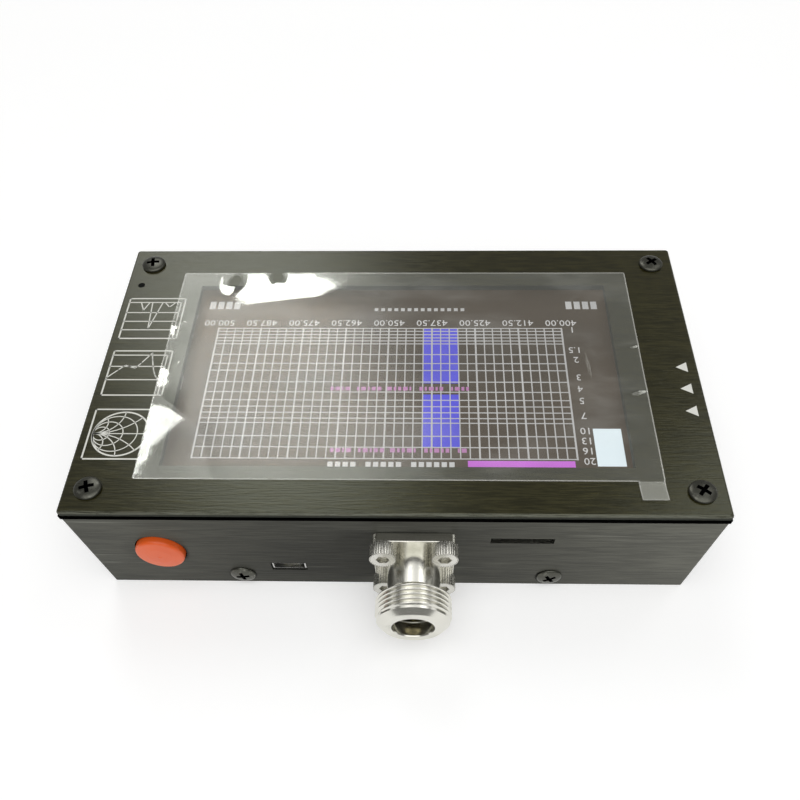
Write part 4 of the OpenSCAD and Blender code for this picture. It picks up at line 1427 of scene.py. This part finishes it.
@dataclass
class ProtectiveFilm:
    """Thin clear film over the window, with its waves, swells and pull tab."""

    cells_x: int = 220
    cells_y: int = 128
    thick: float = 0.10
    lift: float = 0.14
    rim: float = 0.24
    wave: float = 0.07
    corner_r: float = 0.35
    tab_left: float = 48.9
    tab_right: float = 57.0
    tab_l: float = 4.8
    swells: Sequence[Swell] = (
        Swell(-31.4, 18.2, 18.1, 7.2, 0.86, 8.1),
        Swell(-29.8, 29.2, 1.5, 2.6, -0.55, 12.0),
        Swell(-40.0, 27.6, 1.5, 2.6, -0.50, -8.0),
        Swell(-43.6, -15.1, 7.5, 7.8, 0.89, -0.3),
        Swell(-50.8, 12.1, 2.4, 2.2, 0.36, 0.0),
        Swell(-50.2, -1.6, 2.8, 3.6, 0.46, 0.0),
        Swell(43.2, 0.5, 1.0, 7.5, 0.36, 4.0),
        Swell(52.8, 6.3, 2.6, 0.9, 0.24, 14.0),
        Swell(52.0, -7.4, 2.6, 0.8, 0.22, 16.0),
        Swell(34.5, 4.8, 0.9, 2.6, 0.16, 8.0),
        Swell(41.5, 21.0, 0.8, 3.0, 0.24, -35.0),
    )

    def build(self) -> None:
        """Makes the film in place of its flat solid."""
        low, high = mm_box("screen_film")
        near = low.y + self.tab_l
        form = Form()
        matrix = Matrix.Translation(((low.x + high.x) / 2, (near + high.y) / 2, low.z)) @ Matrix.Diagonal(
            ((high.x - low.x) / 2, (high.y - near) / 2, 1.0, 1.0))
        bmesh.ops.create_grid(form.bm, x_segments=self.cells_x, y_segments=self.cells_y, size=1.0,
                              matrix=matrix)
        self.round_corners(form, Vector((low.x, near)), high.xy)
        self.add_tab(form, near)
        for vert in form.bm.verts:
            vert.co.z += self.height(vert.co.x, vert.co.y, near)
        bmesh.ops.recalc_face_normals(form.bm, faces=form.bm.faces)
        # The border band takes the whiter edge finish: a painted highlight along the film's border.
        cut = bmesh.ops.inset_region(form.bm, faces=form.bm.faces[:], thickness=self.rim, use_boundary=True)
        for face in cut["faces"]:
            face.material_index = 1
        bmesh.ops.solidify(form.bm, geom=form.bm.faces[:], thickness=self.thick)
        film = form.piece("screen_film_waved", FILM, "film_clear", stands_for="screen_film", crease=60.0)
        for finish in (FILM_EDGE_HIGHLIGHT, FILM_TAB):
            film.data.materials.append(finish.material())
        # Upright faces take the whiter edge finish: the cut edge's own whiteness, brightened as a painted
        # highlight.
        for face in film.data.polygons:
            if abs(face.normal.z) < 0.5:
                face.material_index = 1
            elif face.center.y < (near - 0.3) * MM and face.material_index == 0:
                face.material_index = 2

    def round_corners(self, form: Form, low: Vector, high: Vector) -> None:
        """Draws the four corners in to their radius.

        Args:
            form: Shape of the film.
            low: Its near left corner.
            high: Its far right corner.
        """
        for vert in form.bm.verts:
            centre = Vector([
                min(max(c, start + self.corner_r), end - self.corner_r)
                for c, start, end in zip(vert.co.xy, low, high)
            ])
            out = vert.co.xy - centre
            if out.length > self.corner_r:
                vert.co.xy = centre + out.normalized() * self.corner_r

    def add_tab(self, form: Form, near: float) -> None:
        """Draws the pull tab out of the near edge.

        Args:
            form: Shape of the film.
            near: Place of its near edge.
        """
        edge = [
            e for e in form.bm.edges
            if e.is_boundary
            and all(abs(v.co.y - near) < 0.2 and self.tab_left < v.co.x < self.tab_right for v in e.verts)
        ]
        rows = 6
        for _ in range(rows):
            drawn = bmesh.ops.extrude_edge_only(form.bm, edges=edge)["geom"]
            verts = points_in(drawn)
            bmesh.ops.translate(form.bm, verts=verts, vec=(0.0, -self.tab_l / rows, 0.0))
            edges = [part for part in drawn if isinstance(part, bmesh.types.BMEdge)]
            edge = [e for e in edges if all(v in verts for v in e.verts)]

    def height(self, x: float, y: float, near: float) -> float:
        """Gives the film's height over the plate at a place.

        Args:
            x: Place across the film.
            y: Place along it.
            near: Its near edge, past which the tab curls up.

        Returns:
            The height.
        """
        wave = self.wave * (0.5 + 0.5 * noise.noise(Vector((x * 0.055, y * 0.11, 3.7))))
        fine = 0.008 * noise.noise(Vector((x * 0.3, y * 0.42, 9.1)))
        curl = 0.5 * max(0.0, (near - y) / self.tab_l) ** 2
        return self.lift + wave + fine + curl + sum(s.at(x, y) for s in self.swells)


@dataclass
class PortDetails:
    """Contacts inside the charging socket."""

    count: int = 5
    pin_w: float = 0.4
    pin_t: float = 0.08
    pitch: float = 0.65
    shell_t: float = 0.3
    tongue_share: float = 0.25
    depth: float = 1.7

    def build(self) -> None:
        """Makes the charging socket's five contacts on its tongue."""
        low, high = mm_box("usb_socket")
        middle = (low.x + high.x) / 2
        tongue_low = high.z - self.shell_t - (high.z - low.z) * self.tongue_share
        form = Form()
        for i in range(self.count):
            x = middle + (i - (self.count - 1) / 2) * self.pitch
            form.box((x - self.pin_w / 2, low.y + self.depth, tongue_low - self.pin_t),
                     (x + self.pin_w / 2, high.y - self.shell_t, tongue_low))
        form.soften(0.03, 1)
        form.piece("charging_contacts", GOLD, "contact_gold")


@dataclass
class Studio:
    """Floor, lights and the camera at the photograph's place."""

    place: Sequence[float] = (6.16, -109.47, 131.3)
    yaw: float = -2.751
    pitch: float = 63.612
    roll: float = -1.911
    lens: float = 28.519
    shift_x: float = -0.0106
    shift_y: float = 0.2503
    sky: float = 0.22
    floor_r: float = 2.6
    aim: Sequence[float] = (0.0, 0.0, 0.02)

    def build(self) -> None:
        """Makes the stage."""
        self.camera()
        self.floor()
        self.world()
        self.softbox("key_light", (0.10, -0.50, 1.05), (1.7, 1.5), 1.45)
        self.softbox("far_left_light", (-0.275, 0.755, 0.766), (0.64, 1.0), 2.5, fade=0.4)
        self.softbox("far_right_light", (0.575, 0.482, 0.804), (0.30, 0.45), 1.2)
        bpy.context.scene.view_settings.view_transform = "Standard"
        LOG.info("studio ready")

    def accents(self) -> None:
        """Makes the lights that only the film, the walls or the socket catch."""
        film = ["screen_film_waved"]
        walls = ["case_body"]
        socket = ["antenna_socket_turned", "antenna_insulator", "antenna_contact", *four("flange_screw")]
        for name, place, size, radiance, pieces in (
            ("film_far_light", (-0.318, 1.271, 0.495), (0.285, 0.62), 12.0, film),
            ("film_left_light", (-0.660, 0.595, 0.620), (0.30, 0.46), 12.0, film),
            ("film_side_light", (-0.549, 0.512, 0.805), (0.36, 0.88), 1.3, film),
            ("film_upper_light", (-0.12, 0.30, 1.05), (0.5, 0.3), 2.0, film),
            ("film_right_light", (0.640, 0.560, 0.70), (0.26, 0.50), 4.0, film),
            ("film_crease_light", (0.176, 0.384, 1.014), (0.26, 0.36), 5.0, film),
            ("wall_left_light", (-0.080, -0.100, 0.030), (0.03, 0.05), 44.0, walls),
            ("wall_right_light", (0.088, -0.100, 0.030), (0.03, 0.05), 90.0, walls),
            ("socket_top_light", (0.0, 0.40, 0.85), (1.3, 0.5), 0.8, socket),
            ("socket_left_light", (-0.8, 0.35, 0.25), (0.6, 0.5), 0.7, socket),
            ("socket_right_light", (0.8, 0.35, 0.25), (0.6, 0.5), 0.9, socket),
        ):
            self.softbox(name, place, size, radiance, pieces)

    def camera(self) -> None:
        """Makes the camera."""
        yaw, pitch, roll = (math.radians(a) for a in (self.yaw, self.pitch, self.roll))
        ahead = Vector((math.sin(yaw) * math.cos(pitch), math.cos(yaw) * math.cos(pitch), -math.sin(pitch)))
        level = Vector((math.cos(yaw), -math.sin(yaw), 0.0))
        upward = level.cross(ahead)
        right = math.cos(roll) * level + math.sin(roll) * upward
        up = math.cos(roll) * upward - math.sin(roll) * level
        data = bpy.data.cameras.new("photo_camera")
        data.lens = self.lens
        data.sensor_width = 36.0
        data.shift_x = self.shift_x
        data.shift_y = self.shift_y
        data.clip_start = 0.005
        camera = bpy.data.objects.new("photo_camera", data)
        turn = Matrix((right, up, -ahead)).transposed().to_4x4()
        camera.matrix_world = Matrix.Translation(Vector(self.place) * MM) @ turn
        bpy.context.scene.collection.objects.link(camera)
        bpy.context.scene.camera = camera

    def floor(self) -> None:
        """Makes the pale floor that the analyzer lies on."""
        bm = bmesh.new()
        bmesh.ops.create_circle(bm, cap_ends=True, radius=self.floor_r, segments=96)
        mesh = bpy.data.meshes.new("floor")
        bm.to_mesh(mesh)
        bm.free()
        floor = bpy.data.objects.new("floor", mesh)
        floor.data.materials.append(StudioFloor("finish_floor").material())
        bpy.context.scene.collection.objects.link(floor)

    def world(self) -> None:
        """Makes an even, soft surrounding light."""
        world = bpy.data.worlds.new("studio")
        bpy.context.scene.world = world
        world.use_nodes = True
        graph = Graph(world.node_tree)
        level = (self.sky, self.sky, self.sky * 0.98, 1.0)
        sky = graph.add("ShaderNodeBackground", {}, {"Color": level, "Strength": 1.0})
        graph.output("ShaderNodeOutputWorld", sky)

    def softbox(self, name: str, place: Sequence[float], size: Point, radiance: float,
                pieces: Sequence[str] = (), fade: float = 0.0) -> None:
        """Makes a rectangular soft light that faces the analyzer.

        Args:
            name: Name of the light.
            place: Its middle, in metres.
            size: Its width and height, in metres.
            radiance: Brightness of its face.
            pieces: Names of the pieces that it shines on; none means all.
            fade: Share of its face, from each edge, over which it grows bright.
        """
        data = bpy.data.lights.new(name, "AREA")
        data.shape = "RECTANGLE"
        data.size, data.size_y = size
        data.energy = radiance * math.pi * size[0] * size[1]
        if fade:
            data.use_nodes = True
            graph = Graph(data.node_tree)
            spot = graph.add("ShaderNodeNewGeometry", {}, {}, "Parametric")
            level = 1.0
            for share in (graph.axis(spot, "X"), graph.axis(spot, "Y")):
                level = share.ramp(0.0, fade) * (1.0 - share.ramp(1.0 - fade, 1.0)) * level
            graph.output("ShaderNodeOutputLight", graph.add("ShaderNodeEmission", {}, {"Strength": level}))
        light = bpy.data.objects.new(name, data)
        aim = Vector(self.aim) - Vector(place)
        light.matrix_world = Matrix.Translation(place) @ aim.to_track_quat("-Z", "Y").to_matrix().to_4x4()
        light.visible_camera = False
        bpy.context.scene.collection.objects.link(light)
        if pieces:
            lit = bpy.data.collections.new(f"{name}_pieces")
            for piece in pieces:
                lit.objects.link(bpy.data.objects[piece])
            light.light_linking.receiver_collection = lit


def main() -> None:
    """Builds the scene, one sub-assembly after the other."""
    logging.basicConfig(level=logging.INFO, format="%(message)s")
    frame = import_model()
    studio = Studio()
    studio.build()
    Housing().dress(frame["nodes"])
    for assembly in (RoundScrews, AntennaSocket, PaintedSeamShadow, PanelPrint, Picture, ProtectiveFilm, PortDetails):
        assembly().build()
        LOG.info("%s built", assembly.__name__)
    studio.accents()


if __name__ == "__main__":
    main()
